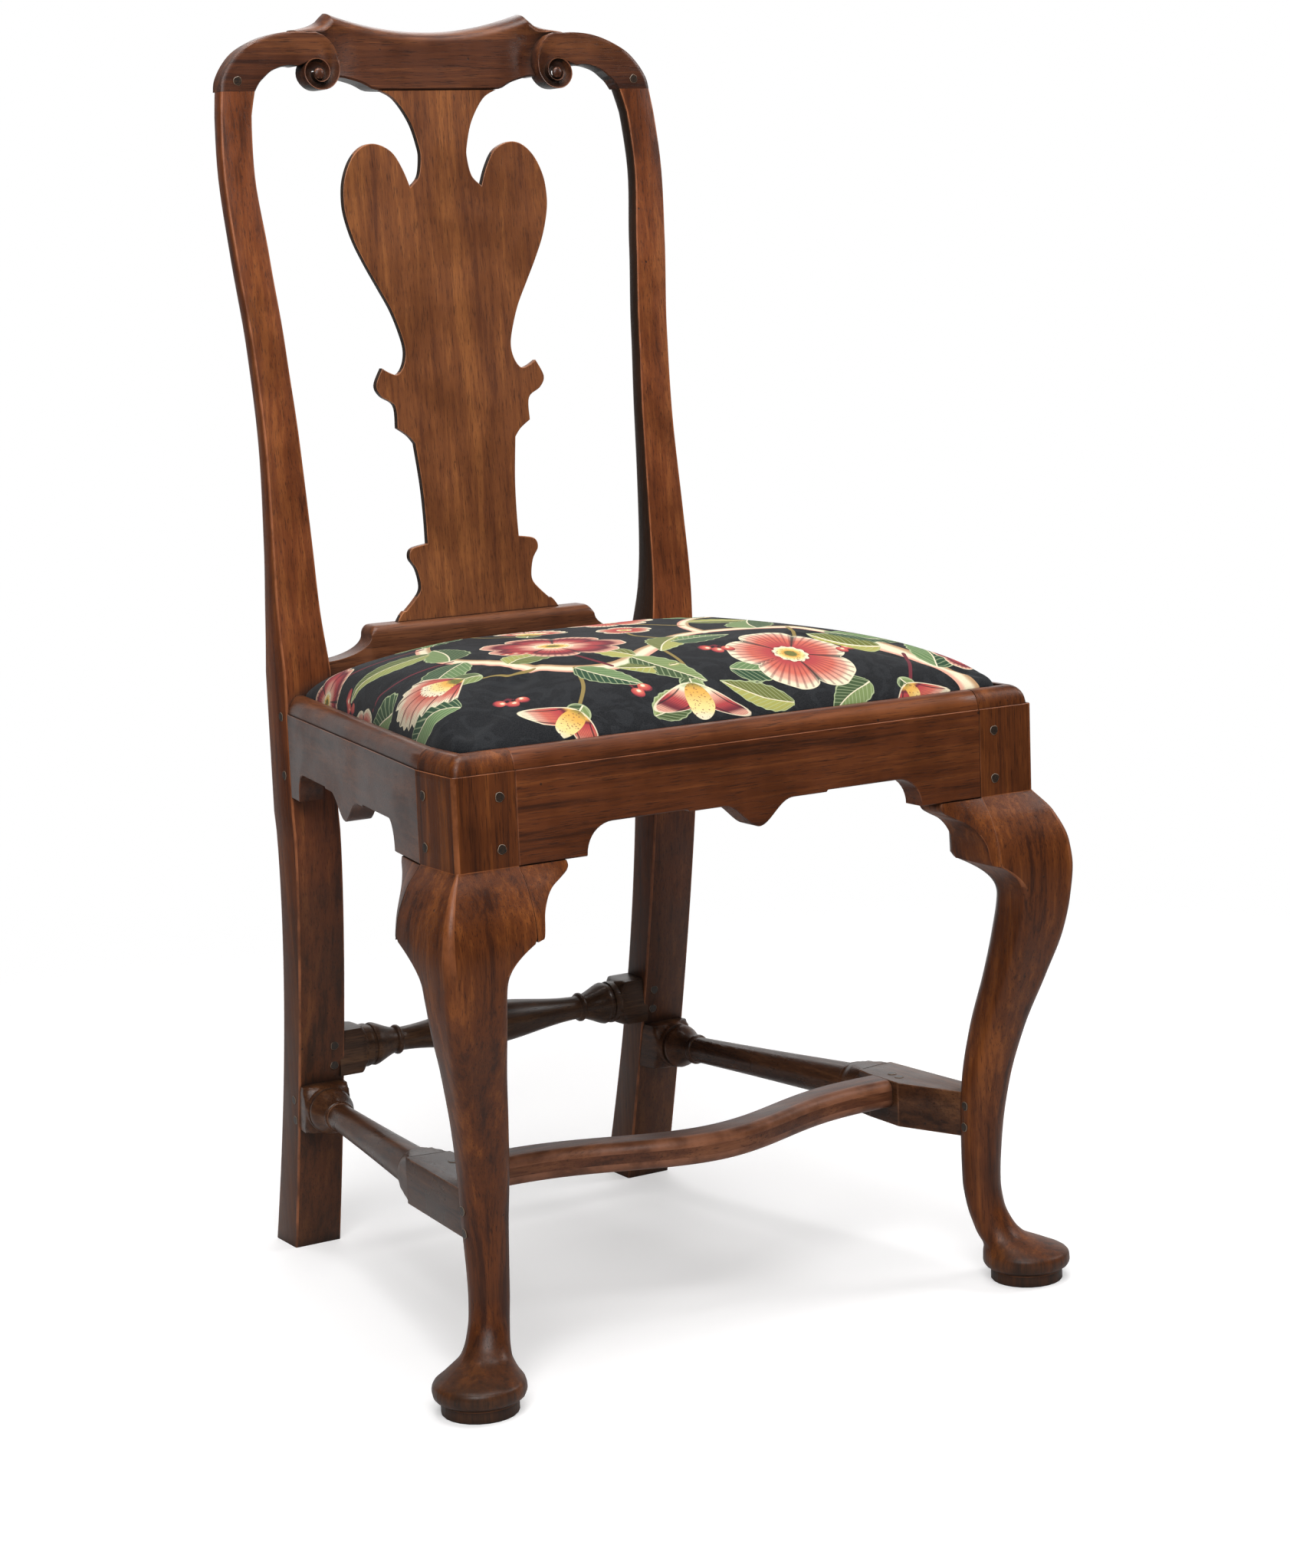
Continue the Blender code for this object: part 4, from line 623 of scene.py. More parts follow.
for x in mirrored(half):
    far = abs(x)
    if far <= SHOE_HALF:
        round_end = max(1 - (max(far - SHOE_TURN, 0) / SHOE_END) ** 2, 0) ** 0.5
        top = max(SHOE_BROW + (SHOE_TOP - SHOE_BROW) * round_end, SHOE_BROW + 0.0004)
    else:
        top = SHOE_BROW - (SHOE_BROW - SHOE_SILL) * (1 - (1 - (far - SHOE_HALF) / sweep) ** 2) ** 0.5
    brow = min(SHOE_BROW, top)
    ring = [(0.0, SEAT), (0.0, brow - 0.0006)]
    bulge = max(top - SHOE_BROW, 0.0)
    for k in range(1, 9):
        a = k * pi / 16
        ring.append((SHOE_ROUND * (1 - cos(a)) if bulge else 0.0002 * k, brow + bulge * sin(a)))
    ring += [(SHOE_DEEP, top), (SHOE_DEEP, SEAT)]
    rings.append([(x, SHOE_FRONT + deep, z) for deep, z in ring])
bm = bmesh.new()
drawn_out(bm, rings)
piece("shoe_block", bm, walnut_shoe, ["shoe"], "frame", 30)


# Rear seat rail: a plain walnut board between the stiles, stepped along its top front edge for the
# drop-in seat. Nothing on it is moulded; it shows only from behind and below.
LEDGE = 0.450
REAR_RAIL_FRONT, REAR_RAIL_BACK, REAR_RAIL_LOW = 0.1578, 0.1898, 0.390
step = [(REAR_RAIL_FRONT, REAR_RAIL_LOW), (REAR_RAIL_BACK, REAR_RAIL_LOW), (REAR_RAIL_BACK, SEAT),
        (SHOE_FRONT, SEAT), (SHOE_FRONT, LEDGE), (REAR_RAIL_FRONT, LEDGE)]
bm = bmesh.new()
loops = drawn_out(bm, [[(x, y, z) for y, z in step] for x in (-SHOE_REACH, -0.05, 0.05, SHOE_REACH)])
eased(bm, runs(bm, loops, 0, 1, 2), 0.0010)
walnut_rail = walnut(
    "walnut_rail", dark=(0.048, 0.013, 0.004), mid=(0.120, 0.031, 0.008), light=(0.196, 0.056, 0.014),
    grain="X", gloss=0.36, seed=5.0)
piece("rear_rail", bm, walnut_rail, ["rear_seat_rail"], "frame")


# Front and side seat rails: walnut boards with a thumb moulding worked along the top, a rebate behind it
# for the seat, and an apron sawn to coves and a rounded drop. They are tenoned and pegged into the posts.
POST_IN, POST_OUT, POST_BACK = 0.199, 0.248, -0.1787
QUIRK, LIP, RAIL_DEEP = 0.0015, 0.0145, 0.021
APRON_RISE = 0.0225
HAIR = 0.0006


def moulding():
    """Thumb moulding as distance in from the face and height, upwards, over the quirk."""
    arc = [pi / 2 * k / 9 for k in range(1, 10)]
    return [(QUIRK + 0.010 * (1 - cos(a)), FACE_TOP + (SEAT - FACE_TOP) * sin(a)) for a in arc]


def rail_section(low):
    """Section of a rail above its lower edge, as distance in from the face and height."""
    section = [(RAIL_DEEP, low), (0.0008, low), (0.0, low + 0.0008), (0.0, FACE_TOP - 0.0005)]
    section += [(0.0004, FACE_TOP), (QUIRK, FACE_TOP - HAIR)] + moulding()
    return section + [(LIP - 0.0005, SEAT), (LIP, SEAT - HAIR), (LIP, LEDGE), (RAIL_DEEP, LEDGE)]


def apron_edge(start, end, lugs, cove, step, drop):
    """Lower edge of a rail, as place along it and height."""
    flat = RAIL_LOW + APRON_RISE
    low, high = start + lugs[0], end - lugs[1]
    middle = (low + high) / 2
    rise = [(cove * (1 - cos(k * pi / 20)), APRON_RISE * sin(k * pi / 20)) for k in range(11)]
    ogee = [(0.5 + 0.5 * cos(pi * (k / 18) ** 0.95)) ** 1.15 for k in range(18)] + [0.0]
    fall = [(drop * k / 18, flat - 0.0015 - 0.018 * share) for k, share in enumerate(ogee)]
    left = [(start + (low - start) * k / 3, RAIL_LOW) for k in range(3)]
    left += [(low + u, RAIL_LOW + v) for u, v in rise]
    left += [(middle - step, flat), (middle - step + 0.0015, flat - 0.0015)]
    left += [(middle - u, z) for u, z in reversed(fall)]
    right = [(middle + u, z) for u, z in fall[1:]]
    right += [(middle + step - 0.0015, flat - 0.0015), (middle + step, flat)]
    right += [(high - u, RAIL_LOW + v) for u, v in reversed(rise)]
    return left + right + [(high + (end - high) * k / 3, RAIL_LOW) for k in (1, 2, 3)]


def ended(edge):
    """Adds a fine chamfer at both ends, where the rail meets a post and the joint shows as a line."""
    (first, low), (last, high) = edge[0], edge[-1]
    rows = [(first, low, HAIR), (first + HAIR, low, 0.0)] + [(at, z, 0.0) for at, z in edge[1:-1]]
    return rows + [(last - HAIR, high, 0.0), (last, high, HAIR)]


def side_face(y):
    """Outer face of a side rail."""
    return POST_OUT + (STILE_OUT - POST_OUT) * (y - POST_BACK) / (STILE_FRONT - POST_BACK)


edge = apron_edge(-0.1988, 0.1988, (0.0545, 0.0545), cove=0.0215, step=0.0605, drop=0.031)
rings = []
for x, low, cut in ended(edge):
    rings.append([(x, FRONT + max(t, cut), z - cut) for t, z in rail_section(low)])
bm = bmesh.new()
drawn_out(bm, rings)
piece("front_rail", bm, walnut_rail, ["front_seat_rail"], "frame", 28)
walnut_side = walnut(
    "walnut_side", dark=(0.045, 0.015, 0.007), mid=(0.090, 0.028, 0.011), light=(0.150, 0.050, 0.018),
    grain="Y", gloss=0.34, seed=6.0)
edge = apron_edge(POST_BACK + 0.0002, STILE_FRONT - 0.0002, (0.058, 0.0225),
                  cove=0.013, step=0.050, drop=0.036)
for word, side in SIDES:
    rings = []
    for y, low, cut in ended(edge):
        rings.append([(side * (side_face(y) - max(t, cut)), y, z - cut) for t, z in rail_section(low)])
    bm = bmesh.new()
    drawn_out(bm, rings)
    piece(f"side_rail_{word}", bm, walnut_side, [f"{word}_seat_rail"], "frame", 28)


# Front legs: each is cut from one walnut post. The square head carries the rails and its own mitred length
# of moulding; below it the knee swells, the shank tapers and the turned pad foot stands on a small disc.
LEG_BEND = (
    # share of leg height, bulge beyond the post faces, half width, then the corner radii:
    # outer front, inner front, outer back, inner back
    (1.000, 0.0000, 0.0250, 0.0015, 0.0008, 0.0008, 0.0120),
    (0.960, 0.0118, 0.0250, 0.0040, 0.0008, 0.0008, 0.0160),
    (0.900, 0.0206, 0.0250, 0.0060, 0.0010, 0.0010, 0.0180),
    (0.850, 0.0226, 0.0245, 0.0070, 0.0020, 0.0030, 0.0190),
    (0.790, 0.0212, 0.0237, 0.0080, 0.0060, 0.0110, 0.0180),
    (0.720, 0.0172, 0.0231, 0.0090, 0.0085, 0.0170, 0.0170),
    (0.630, 0.0080, 0.0212, 0.0110, 0.0110, 0.0205, 0.0165),
    (0.520, -0.0040, 0.0192, 0.0130, 0.0130, 0.0190, 0.0160),
    (0.410, -0.0122, 0.0178, 0.0150, 0.0150, 0.0177, 0.0165),
    (0.310, -0.0163, 0.0164, 0.0162, 0.0162, 0.0162, 0.0162),
    (0.200, -0.0185, 0.0149, 0.0148, 0.0148, 0.0148, 0.0148),
    (0.155, -0.0170, 0.0147, 0.0146, 0.0146, 0.0146, 0.0146),
)
PAD_LOW = 0.0096
FOOT_TURN = (
    # height, bulge beyond the post faces, radius
    (0.0450, -0.0120, 0.0158), (0.0350, -0.0045, 0.0185), (0.0280, 0.0110, 0.0259),
    (0.0215, 0.0233, 0.0333), (0.0170, 0.0242, 0.0339), (0.0125, 0.0230, 0.0327), (PAD_LOW, 0.0190, 0.0287),
)
FOOT_DISC = (
    # height, radius
    (0.0092, 0.0277), (0.0084, 0.0279), (0.0010, 0.0279), (0.0, 0.0270),
)
LEG_LEAN = 0.0045
POST_DROP, POST_RUN_OUT, POST_ROUND = 0.050, 0.031, 0.0030
CORNER_STEPS = 7
leg_rows = [(share * RAIL_LOW, *rest) for share, *rest in LEG_BEND]
leg_rows += [(z, bulge, radius) + (radius,) * 4 for z, bulge, radius in FOOT_TURN]


def leg_at(z):
    """Outer and inner faces and corner radii of a front leg at one height."""
    bulge, half, *corners = between(leg_rows, z)
    lean = LEG_LEAN * min(max((0.80 * RAIL_LOW - z) / (0.46 * RAIL_LOW), 0), 1)
    out_x, out_y = POST_OUT + bulge + lean, FRONT - bulge + lean
    in_x, in_y = out_x - 2 * half, out_y + 2 * half
    down = (RAIL_LOW - POST_DROP - z) / POST_RUN_OUT
    if down < 1:
        ease = 1 - (1 - max(down, 0)) ** 2.5
        in_x = POST_IN + (in_x - POST_IN) * ease
        in_y = POST_BACK + (in_y - POST_BACK) * ease
    return (out_x, in_x, out_y, in_y, *(min(radius, 0.999 * half) for radius in corners))


def leg_middle(z):
    """Middle of a front leg at one height."""
    out_x, in_x, out_y, in_y = leg_at(z)[:4]
    return (out_x + in_x) / 2, (out_y + in_y) / 2


def leg_ring(side, z, row):
    """Rounded rectangle with its own radius at each corner."""
    out_x, in_x, out_y, in_y, *radii = row
    corners = ((in_x, out_y, 1, 1, radii[1], pi), (out_x, out_y, -1, 1, radii[0], 1.5 * pi),
               (out_x, in_y, -1, -1, radii[2], 0), (in_x, in_y, 1, -1, radii[3], 0.5 * pi))
    ring = []
    for x, y, right, rear, radius, turn in corners:
        for k in range(CORNER_STEPS):
            a = turn + pi / 2 * k / (CORNER_STEPS - 1)
            out = x + right * radius + radius * cos(a)
            ring.append((side * out, y + rear * radius + radius * sin(a), z))
    return ring


def head_ring(side, inward, z, radius):
    """Plan of a post head beside the seat rebate: two arms, mitred at a rounded outer corner."""
    x, y = POST_OUT - inward, FRONT + inward
    ring = [(POST_IN, y)]
    for k in range(CORNER_STEPS):
        a = 1.5 * pi + pi / 2 * k / (CORNER_STEPS - 1)
        ring.append((x - radius + radius * cos(a), y + radius + radius * sin(a)))
    lip_x, lip_y = POST_OUT - LIP, FRONT + LIP
    ring += [(x, POST_BACK), (lip_x, POST_BACK), (lip_x, lip_y), (POST_IN, lip_y)]
    return [(side * a, b, z) for a, b in ring]


walnut_leg = walnut(
    "walnut_leg", dark=(0.045, 0.012, 0.004), mid=(0.118, 0.031, 0.007), light=(0.214, 0.062, 0.013),
    grain="Z", gloss=0.38, seed=7.0, shine=0.25, soil=(0.004, 0.056, 0.52))
leg_heights = [RAIL_LOW * (1 - 0.0042 * k) for k in range(30)]
for top, fall, count in ((0.336, 0.031, 16), (0.304, 0.2440, 60), (0.0585, 0.0489, 40)):
    leg_heights += [top - fall * k / count for k in range(count + 1)]
head = [(0.0, LEDGE, POST_ROUND), (0.0, FACE_TOP - 0.0005, POST_ROUND), (0.0004, FACE_TOP, POST_ROUND)]
head += [(QUIRK, FACE_TOP - HAIR, 0.0045)] + [(t, z, 0.0055) for t, z in moulding()]
post = (POST_OUT, POST_IN, FRONT, POST_BACK, POST_ROUND, 0.0004, 0.0004, 0.0004)
foot_x, foot_y = leg_middle(PAD_LOW)
for word, side in SIDES:
    bm = bmesh.new()
    wear_and_highlight = bm.loops.layers.float.new("wear_and_highlight")
    drawn_out(bm, [head_ring(side, *row) for row in head])
    rings = [leg_ring(side, z, post) for z in (LEDGE, 0.43, 0.41, 0.3876)]
    rings += [leg_ring(side, z, leg_at(z)) for z in leg_heights]
    for z, r in FOOT_DISC:
        row = (foot_x + r, foot_x - r, foot_y - r, foot_y + r) + (0.999 * r,) * 4
        rings.append(leg_ring(side, z, row))
    loops = drawn_out(bm, rings)
    # The outer front corner carries wear and a painted highlight that fades out down the knee.
    for upper, lower in zip(loops, loops[1:]):
        for k in range(CORNER_STEPS, 2 * CORNER_STEPS - 1):
            for corner in bm.faces.get((upper[k], upper[k + 1], lower[k + 1], lower[k])).loops:
                corner[wear_and_highlight] = 0.9 * smooth(0.24, 0.373, corner.vert.co.z)
    piece(f"cabriole_leg_{word}", bm, walnut_leg, [f"{word}_front_leg"], "frame", 38)


# Knee brackets: small shaped walnut blocks glued under the rails beside each knee. They carry the swell
# of the knee out to a rounded nose and hollow back to the leg.
BRACKET = (
    # drop below the rail, reach away from the leg
    (0.0000, 0.0375), (0.0040, 0.0385), (0.0075, 0.0365), (0.0110, 0.0310), (0.0165, 0.0210),
    (0.0240, 0.0140), (0.0330, 0.0095), (0.0485, 0.0065), (0.0500, 0.0010),
)
BRACKET_BACK, BRACKET_SWELL = 0.026, 0.0435
for word, side in SIDES:
    for place, longer in (("front", 1.0), ("side", 1.12)):
        rings = []
        for k in range(41):
            drop = 0.0003 + 0.0497 * k / 40
            z = RAIL_LOW - drop
            reach = between(BRACKET, drop)[0] * longer
            bulge = between(leg_rows, z)[0]
            ring = [(0.0, BRACKET_BACK), (0.0, -bulge)]
            for u in (0.15, 0.3, 0.45, 0.6, 0.75, 0.88, 0.96, 1.0):
                far = reach * u
                face = bulge * max(1 - (far / BRACKET_SWELL) ** 1.5, 0.0) * 0.94 + 0.0006
                ring.append((far, -face + (0.0009 if u == 1.0 else 0.0)))
            ring.append((reach, BRACKET_BACK))
            if place == "front":
                rings.append([(side * (POST_IN - u), FRONT + v, z) for u, v in ring])
            else:
                rings.append([(side * (side_face(POST_BACK + u) - v), POST_BACK + u, z) for u, v in ring])
        bm = bmesh.new()
        drawn_out(bm, rings)
        node = f"{word}_{place}_bracket"
        piece(f"knee_bracket_{place}_{word}", bm, walnut_leg, [node], "frame", 40)


# Side stretchers: turned walnut bars. A square block with run-out chamfers is tenoned into the stile, then
# rings, a bell and a long tapering shaft lead to a flat-topped block that runs into the front leg.
SIDE_REAR_Z, SIDE_FRONT_Z = 0.125, 0.1312
SQUARE_HALF, SQUARE_END, ROUND_FROM = 0.0193, 0.0125, 0.0195
BLOCK_HALF, BLOCK_LONG, BLOCK_CORNER = 0.0178, 0.124, 0.375
LEG_X, LEG_Y = leg_middle(SIDE_FRONT_Z)
JOINT_X, JOINT_Y = LEG_X - 0.036, LEG_Y + 0.082
SIDE_RINGS = (
    # distance from the stile, radius
    (0.0225, 0.0190), (0.0236, 0.0184), (0.0240, 0.0166), (0.0262, 0.0166), (0.0266, 0.0178),
    (0.0278, 0.0184), (0.0295, 0.0182), (0.0322, 0.0172), (0.0350, 0.0157), (0.0380, 0.0139),
    (0.0410, 0.0124), (0.0440, 0.0112), (0.0465, 0.0106), (0.0470, 0.0118), (0.0480, 0.0126),
    (0.0492, 0.0128), (0.0505, 0.0124), (0.0512, 0.0112), (0.0520, 0.0108),
)
COLLAR = (
    # distance from the end of the shaft, radius
    (0.0, 0.0154), (0.0006, 0.0163), (0.0025, 0.0168), (0.0044, 0.0163), (0.0050, 0.0152), (0.0056, 0.0170),
)


def turned(bm, start, axis, stations, narrow=1.0):
    """Bar along an axis: distance, half size and squareness from 0, round, to 1, square."""
    count = 40
    wide = axis.cross(Vector((0, 0, 1))).normalized()
    tall = wide.cross(axis)
    rings = []
    for distance, radius, square in stations:
        ring = []
        for k in range(count):
            a = 2 * pi * k / count
            u, v = cos(a), sin(a)
            box = 1 / max(abs(u), abs(v))
            rim = min(box, 1 + BLOCK_CORNER * square) if square else 1.0
            rim = 1.0 + (rim - 1.0) * min(square * 4, 1.0) if square < 0.25 else rim
            thin = 1.0 + (narrow - 1.0) * min(square * 2, 1.0)
            ring.append(start + axis * distance + (wide * u * rim * thin + tall * v * rim) * radius)
        rings.append(ring)
    return drawn_out(bm, rings)


def chamfer_run(radius):
    """Stations that run a square block out into a round of some radius."""
    rows = []
    for k in range(7):
        t = k / 6
        distance = SQUARE_END + (ROUND_FROM - SQUARE_END) * t
        rows.append((distance, SQUARE_HALF + (radius - SQUARE_HALF) * t * t, max(1 - t ** 1.6, 0.0)))
    return rows


walnut_bar = walnut(
    "walnut_bar", dark=(0.028, 0.011, 0.006), mid=(0.078, 0.029, 0.012), light=(0.138, 0.055, 0.022),
    grain="Y", gloss=0.30, seed=8.0, shine=0.28)
for word, side in SIDES:
    x, y, wide, _ = stile_at(SIDE_REAR_Z)
    start = Vector((side * (x - wide / 2), y, SIDE_REAR_Z))
    near = start.lerp(Vector((side * LEG_X, LEG_Y, 0)), (LEG_Y + BLOCK_LONG - y) / (LEG_Y - y))
    near.z = SIDE_FRONT_Z
    axis = (near - start).normalized()
    collar = (near - start).length - 0.0225
    stations = [(-0.0085, SQUARE_HALF, 1), (0.012, SQUARE_HALF, 1)] + chamfer_run(0.0188)
    stations += [(distance, radius, 0) for distance, radius in SIDE_RINGS]
    shaft, thin = SIDE_RINGS[-1]
    for k in range(1, 15):
        t = k / 15
        stations.append((shaft + (collar - shaft) * t, thin + 0.0046 * t - 0.0004 * sin(pi * t), 0))
    stations += [(collar + distance, radius, 0) for distance, radius in COLLAR]
    for k in range(9):
        t = k / 8
        stations.append((collar + 0.0060 + 0.0230 * t, BLOCK_HALF, t + 0.06 * sin(2 * pi * t)))
    bm = bmesh.new()
    turned(bm, start, axis, stations)
    middle = start + axis * (collar + 0.0288)
    slide = Vector((axis.y, -axis.x, 0)).normalized() * -side * BLOCK_HALF
    outer, inner = middle + slide, middle - slide
    plan = [(abs(outer.x), outer.y), (abs(inner.x), inner.y),
            (JOINT_X, JOINT_Y + 0.0185), (JOINT_X, JOINT_Y - 0.0200),
            (LEG_X - 0.0140, LEG_Y + 0.0080), (LEG_X + 0.0090, LEG_Y + 0.0080)]
    rings = [[(side * x, y, SIDE_FRONT_Z + z) for x, y in plan] for z in (-BLOCK_HALF, BLOCK_HALF)]
    loops = drawn_out(bm, rings)
    rims = [bm.edges.get((loop[k], loop[k - 1])) for loop in loops for k in (0, 2, 3, 4, 5)]
    eased(bm, rims + runs(bm, loops, 2, 3), 0.0010)
    node = f"{word}_side_stretcher"
    piece(f"turned_stretcher_{word}", bm, walnut_bar, [node], "frame", 40)


# Rear stretcher: a turned walnut bar between the stiles, with a square block, rings and a bell at each end
# and a long swelling in the middle.
REAR_Z = 0.166
REAR_RINGS = (
    # distance from the stile, radius
    (0.0260, 0.0180), (0.0275, 0.0176), (0.0280, 0.0164), (0.0305, 0.0164), (0.0310, 0.0174),
    (0.0328, 0.0179), (0.0350, 0.0174), (0.0395, 0.0155), (0.0440, 0.0135), (0.0490, 0.0115),
    (0.0530, 0.0105), (0.0536, 0.0117), (0.0548, 0.0123), (0.0562, 0.0123), (0.0574, 0.0116),
    (0.0582, 0.0100),
)
x, y, wide, _ = stile_at(REAR_Z)
end = x - wide
half = [(end + 0.004, SQUARE_HALF, 1), (end - 0.0155, SQUARE_HALF, 1)]
for distance, radius, square in chamfer_run(0.0176):
    half.append((end - 0.0155 - (distance - SQUARE_END) * 0.95, radius, square))
half += [(end - distance, radius, 0) for distance, radius in REAR_RINGS]
reach = end - 0.0585
half += [(reach * (1 - k / 14), 0.0098 + 0.0085 * smooth(0, 1, k / 14), 0) for k in range(14)]
stations = [(-distance, *rest) for distance, *rest in half] + [(0.0, 0.0183, 0)] + half[::-1]
bm = bmesh.new()
turned(bm, Vector((0, y + 0.0163, REAR_Z)), Vector((1, 0, 0)), stations, 0.803)
walnut_rear_bar = walnut(
    "walnut_rear_bar", dark=(0.022, 0.011, 0.007), mid=(0.058, 0.027, 0.014), light=(0.108, 0.052, 0.025),
    grain="X", gloss=0.30, seed=9.0, shine=0.28)
piece("turned_stretcher_rear", bm, walnut_rear_bar, ["rear_stretcher"], "frame", 40)


# Front stretcher: a serpentine bar sawn from a walnut board and let into the two front blocks. Its front
# edges are rounded by wear.
BAR_TALL, BAR_DEEP, BAR_BOW = 0.0225, 0.027, 0.0415
end, back = JOINT_X - 0.0003, JOINT_Y + 0.0135
top = SIDE_FRONT_Z + BLOCK_HALF
low = top - BAR_TALL
rings = []
for k in range(-32, 33):
    u = k / 32
    rear = back - BAR_BOW * (0.5 + 0.5 * cos(pi * u)) ** 1.5
    front = rear - BAR_DEEP
    rings.append([(end * u, rear, low), (end * u, rear, top), (end * u, front, top), (end * u, front, low)])
bm = bmesh.new()
loops = drawn_out(bm, rings)
eased(bm, runs(bm, loops, 2, 3), 0.0076, 6)
eased(bm, runs(bm, loops, 0, 1), 0.0012)
walnut_front_bar = walnut(
    "walnut_front_bar", dark=(0.052, 0.016, 0.007), mid=(0.112, 0.036, 0.015), light=(0.190, 0.068, 0.028),
    grain="X", gloss=0.40, seed=10.0)
piece("serpentine_stretcher", bm, walnut_front_bar, ["front_stretcher"], "frame", 40)


# Pegs: riven hardwood pins driven through the tenons and pared off just proud of the surface. Age has
# pushed them out a little and blackened them, and no two are quite round.
PEG, PEG_RIM, PEG_PROUD = 0.0033, 0.0036, 0.0004


def peg_wood():
    material, tree, shader, place = finish("peg_wood")
    rays = noise(tree, place, 900, 3, 0.6)
    colour = shades(tree, rays, (0.35, (0.010, 0.007, 0.005)), (0.65, (0.040, 0.022, 0.012)))
    # Pale rim on the head: a painted highlight, with some wear.
    colour = laid(tree, times(tree, painted(tree, "wear_and_highlight"), 0.8), colour, (0.27, 0.185, 0.125))
    grained = bumped(tree, rays, 0.4, 0.0004)
    plug(tree, shader, {"Base Color": colour, "Roughness": 0.38, "Normal": grained})
    return material


blackened = peg_wood()
for count, node in enumerate(sorted(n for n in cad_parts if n.startswith("peg_"))):
    low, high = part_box(node)
    span = [b - a for a, b in zip(low, high)]
    way = span.index(max(span))
    end = [(0.0, PEG_RIM), (0.0003, PEG_RIM), (0.00058, PEG), (0.00062, 0.0019)]
    if "_leg_" in node:
        rows = [(-span[way] - d + 2 * PEG_PROUD, r) for d, r in reversed(end)] + end
    else:
        rows = [(-span[way] / 2 + 0.002, PEG)] + end
    out = {0: 1 if low[0] > 0 else -1, 1: -1, 2: 1}[way]
    head = high[way] - PEG_PROUD if out > 0 else low[way] + PEG_PROUD
    rings = []
    for deep, radius in rows:
        ring = []
        for k in range(16):
            a = k * pi / 8
            whittled = radius * (1 + 0.05 * sin(3 * a + count) + 0.035 * sin(5 * a + 2.1 * count))
            point = [(p + q) / 2 for p, q in zip(low, high)]
            point[way] = head + out * deep
            point[(way + 1) % 3] += whittled * cos(a)
            point[(way + 2) % 3] += whittled * sin(a)
            ring.append(point)
        rings.append(ring)
    bm = bmesh.new()
    drawn_out(bm, rings)
    piece("pin_" + node[4:], bm, blackened, [node], "frame", 40)


# Seat frame: four softwood boards, the side ones tenoned into the front and rear ones, made as a loose
# frame that drops into the rebate. They keep their saw marks, and only the underside shows.
SEAT_IN, SEAT_BACK = 0.0155, 0.001
FRONT_CORNER, REAR_CORNER = 0.016, 0.006
TONGUE, TONGUE_FROM, TONGUE_TO = 0.0165, 0.142, 0.148
BOARD_IN, BOARD_EASE = 0.0016, 0.0007


def seat_half(y):
    """Half the width of the seat, from the middle to the rebate."""
    return min(side_face(y), POST_OUT) - SEAT_IN


def seat_point(u, v, inset):
    """Plan of the drop-in seat, with rounded corners and a tongue between the stiles: u from -1 to 1
    across it, v from 0 at the front to 1 at the back."""
    front, rear = FRONT + SEAT_IN + inset, STILE_FRONT - SEAT_BACK - inset
    y = front + (rear - front) * v
    side = seat_half(y) - inset
    x = side * u
    for radius, at_rear in ((FRONT_CORNER, False), (REAR_CORNER, True)):
        a, b = side - abs(x), rear - y if at_rear else y - front
        if a < radius and b < radius:
            p, q = 1 - a / radius, 1 - b / radius
            x -= (p - p * (1 - q * q / 2) ** 0.5) * radius * (1 if u > 0 else -1)
            y += (q - q * (1 - p * p / 2) ** 0.5) * radius * (-1 if at_rear else 1)
    return x, y + TONGUE * v ** 6 * (1 - smooth(TONGUE_FROM - inset, TONGUE_TO - inset, abs(x)))


def softwood(name, grain):
    material, tree, shader, place = finish(name)
    along = stretched(tree, place, [0.06 if axis == grain else 1 for axis in "XYZ"])
    ringed = {"Vector": along, "Scale": 46.0, "Distortion": 5.0, "Detail": 3.0, "Detail Scale": 1.4}
    years = fit(tree, "TexWave", ringed, bands_direction="DIAGONAL", wave_profile="SAW").outputs["Fac"]
    fibre = noise(tree, along, 900, 3, 0.6)
    colour = shades(tree, years, (0.10, (0.46, 0.31, 0.16)), (0.72, (0.37, 0.225, 0.105)),
                    (0.95, (0.215, 0.115, 0.050)))
    colour = laid(tree, ranged(tree, fibre, 0.42, 0.68, 0.0, 0.40), colour, (0.20, 0.115, 0.055))
    dust = noise(tree, place, 24, 4, 0.6)
    colour = laid(tree, ranged(tree, dust, 0.45, 0.72, 0.0, 0.55), colour, (0.115, 0.085, 0.060))
    sawn = {"Vector": place, "Scale": 95.0, "Distortion": 1.2, "Detail": 1.0}
    saw = fit(tree, "TexWave", sawn, bands_direction=grain).outputs["Fac"]
    plug(tree, shader, {
        "Base Color": colour,
        "Roughness": ranged(tree, dust, 0.3, 0.7, 0.62, 0.86),
        "Specular IOR Level": 0.2,
        "Normal": bumped(tree, sums(tree, "ADD", times(tree, saw, 0.35), fibre), 0.35, 0.0007),
    })
    return material


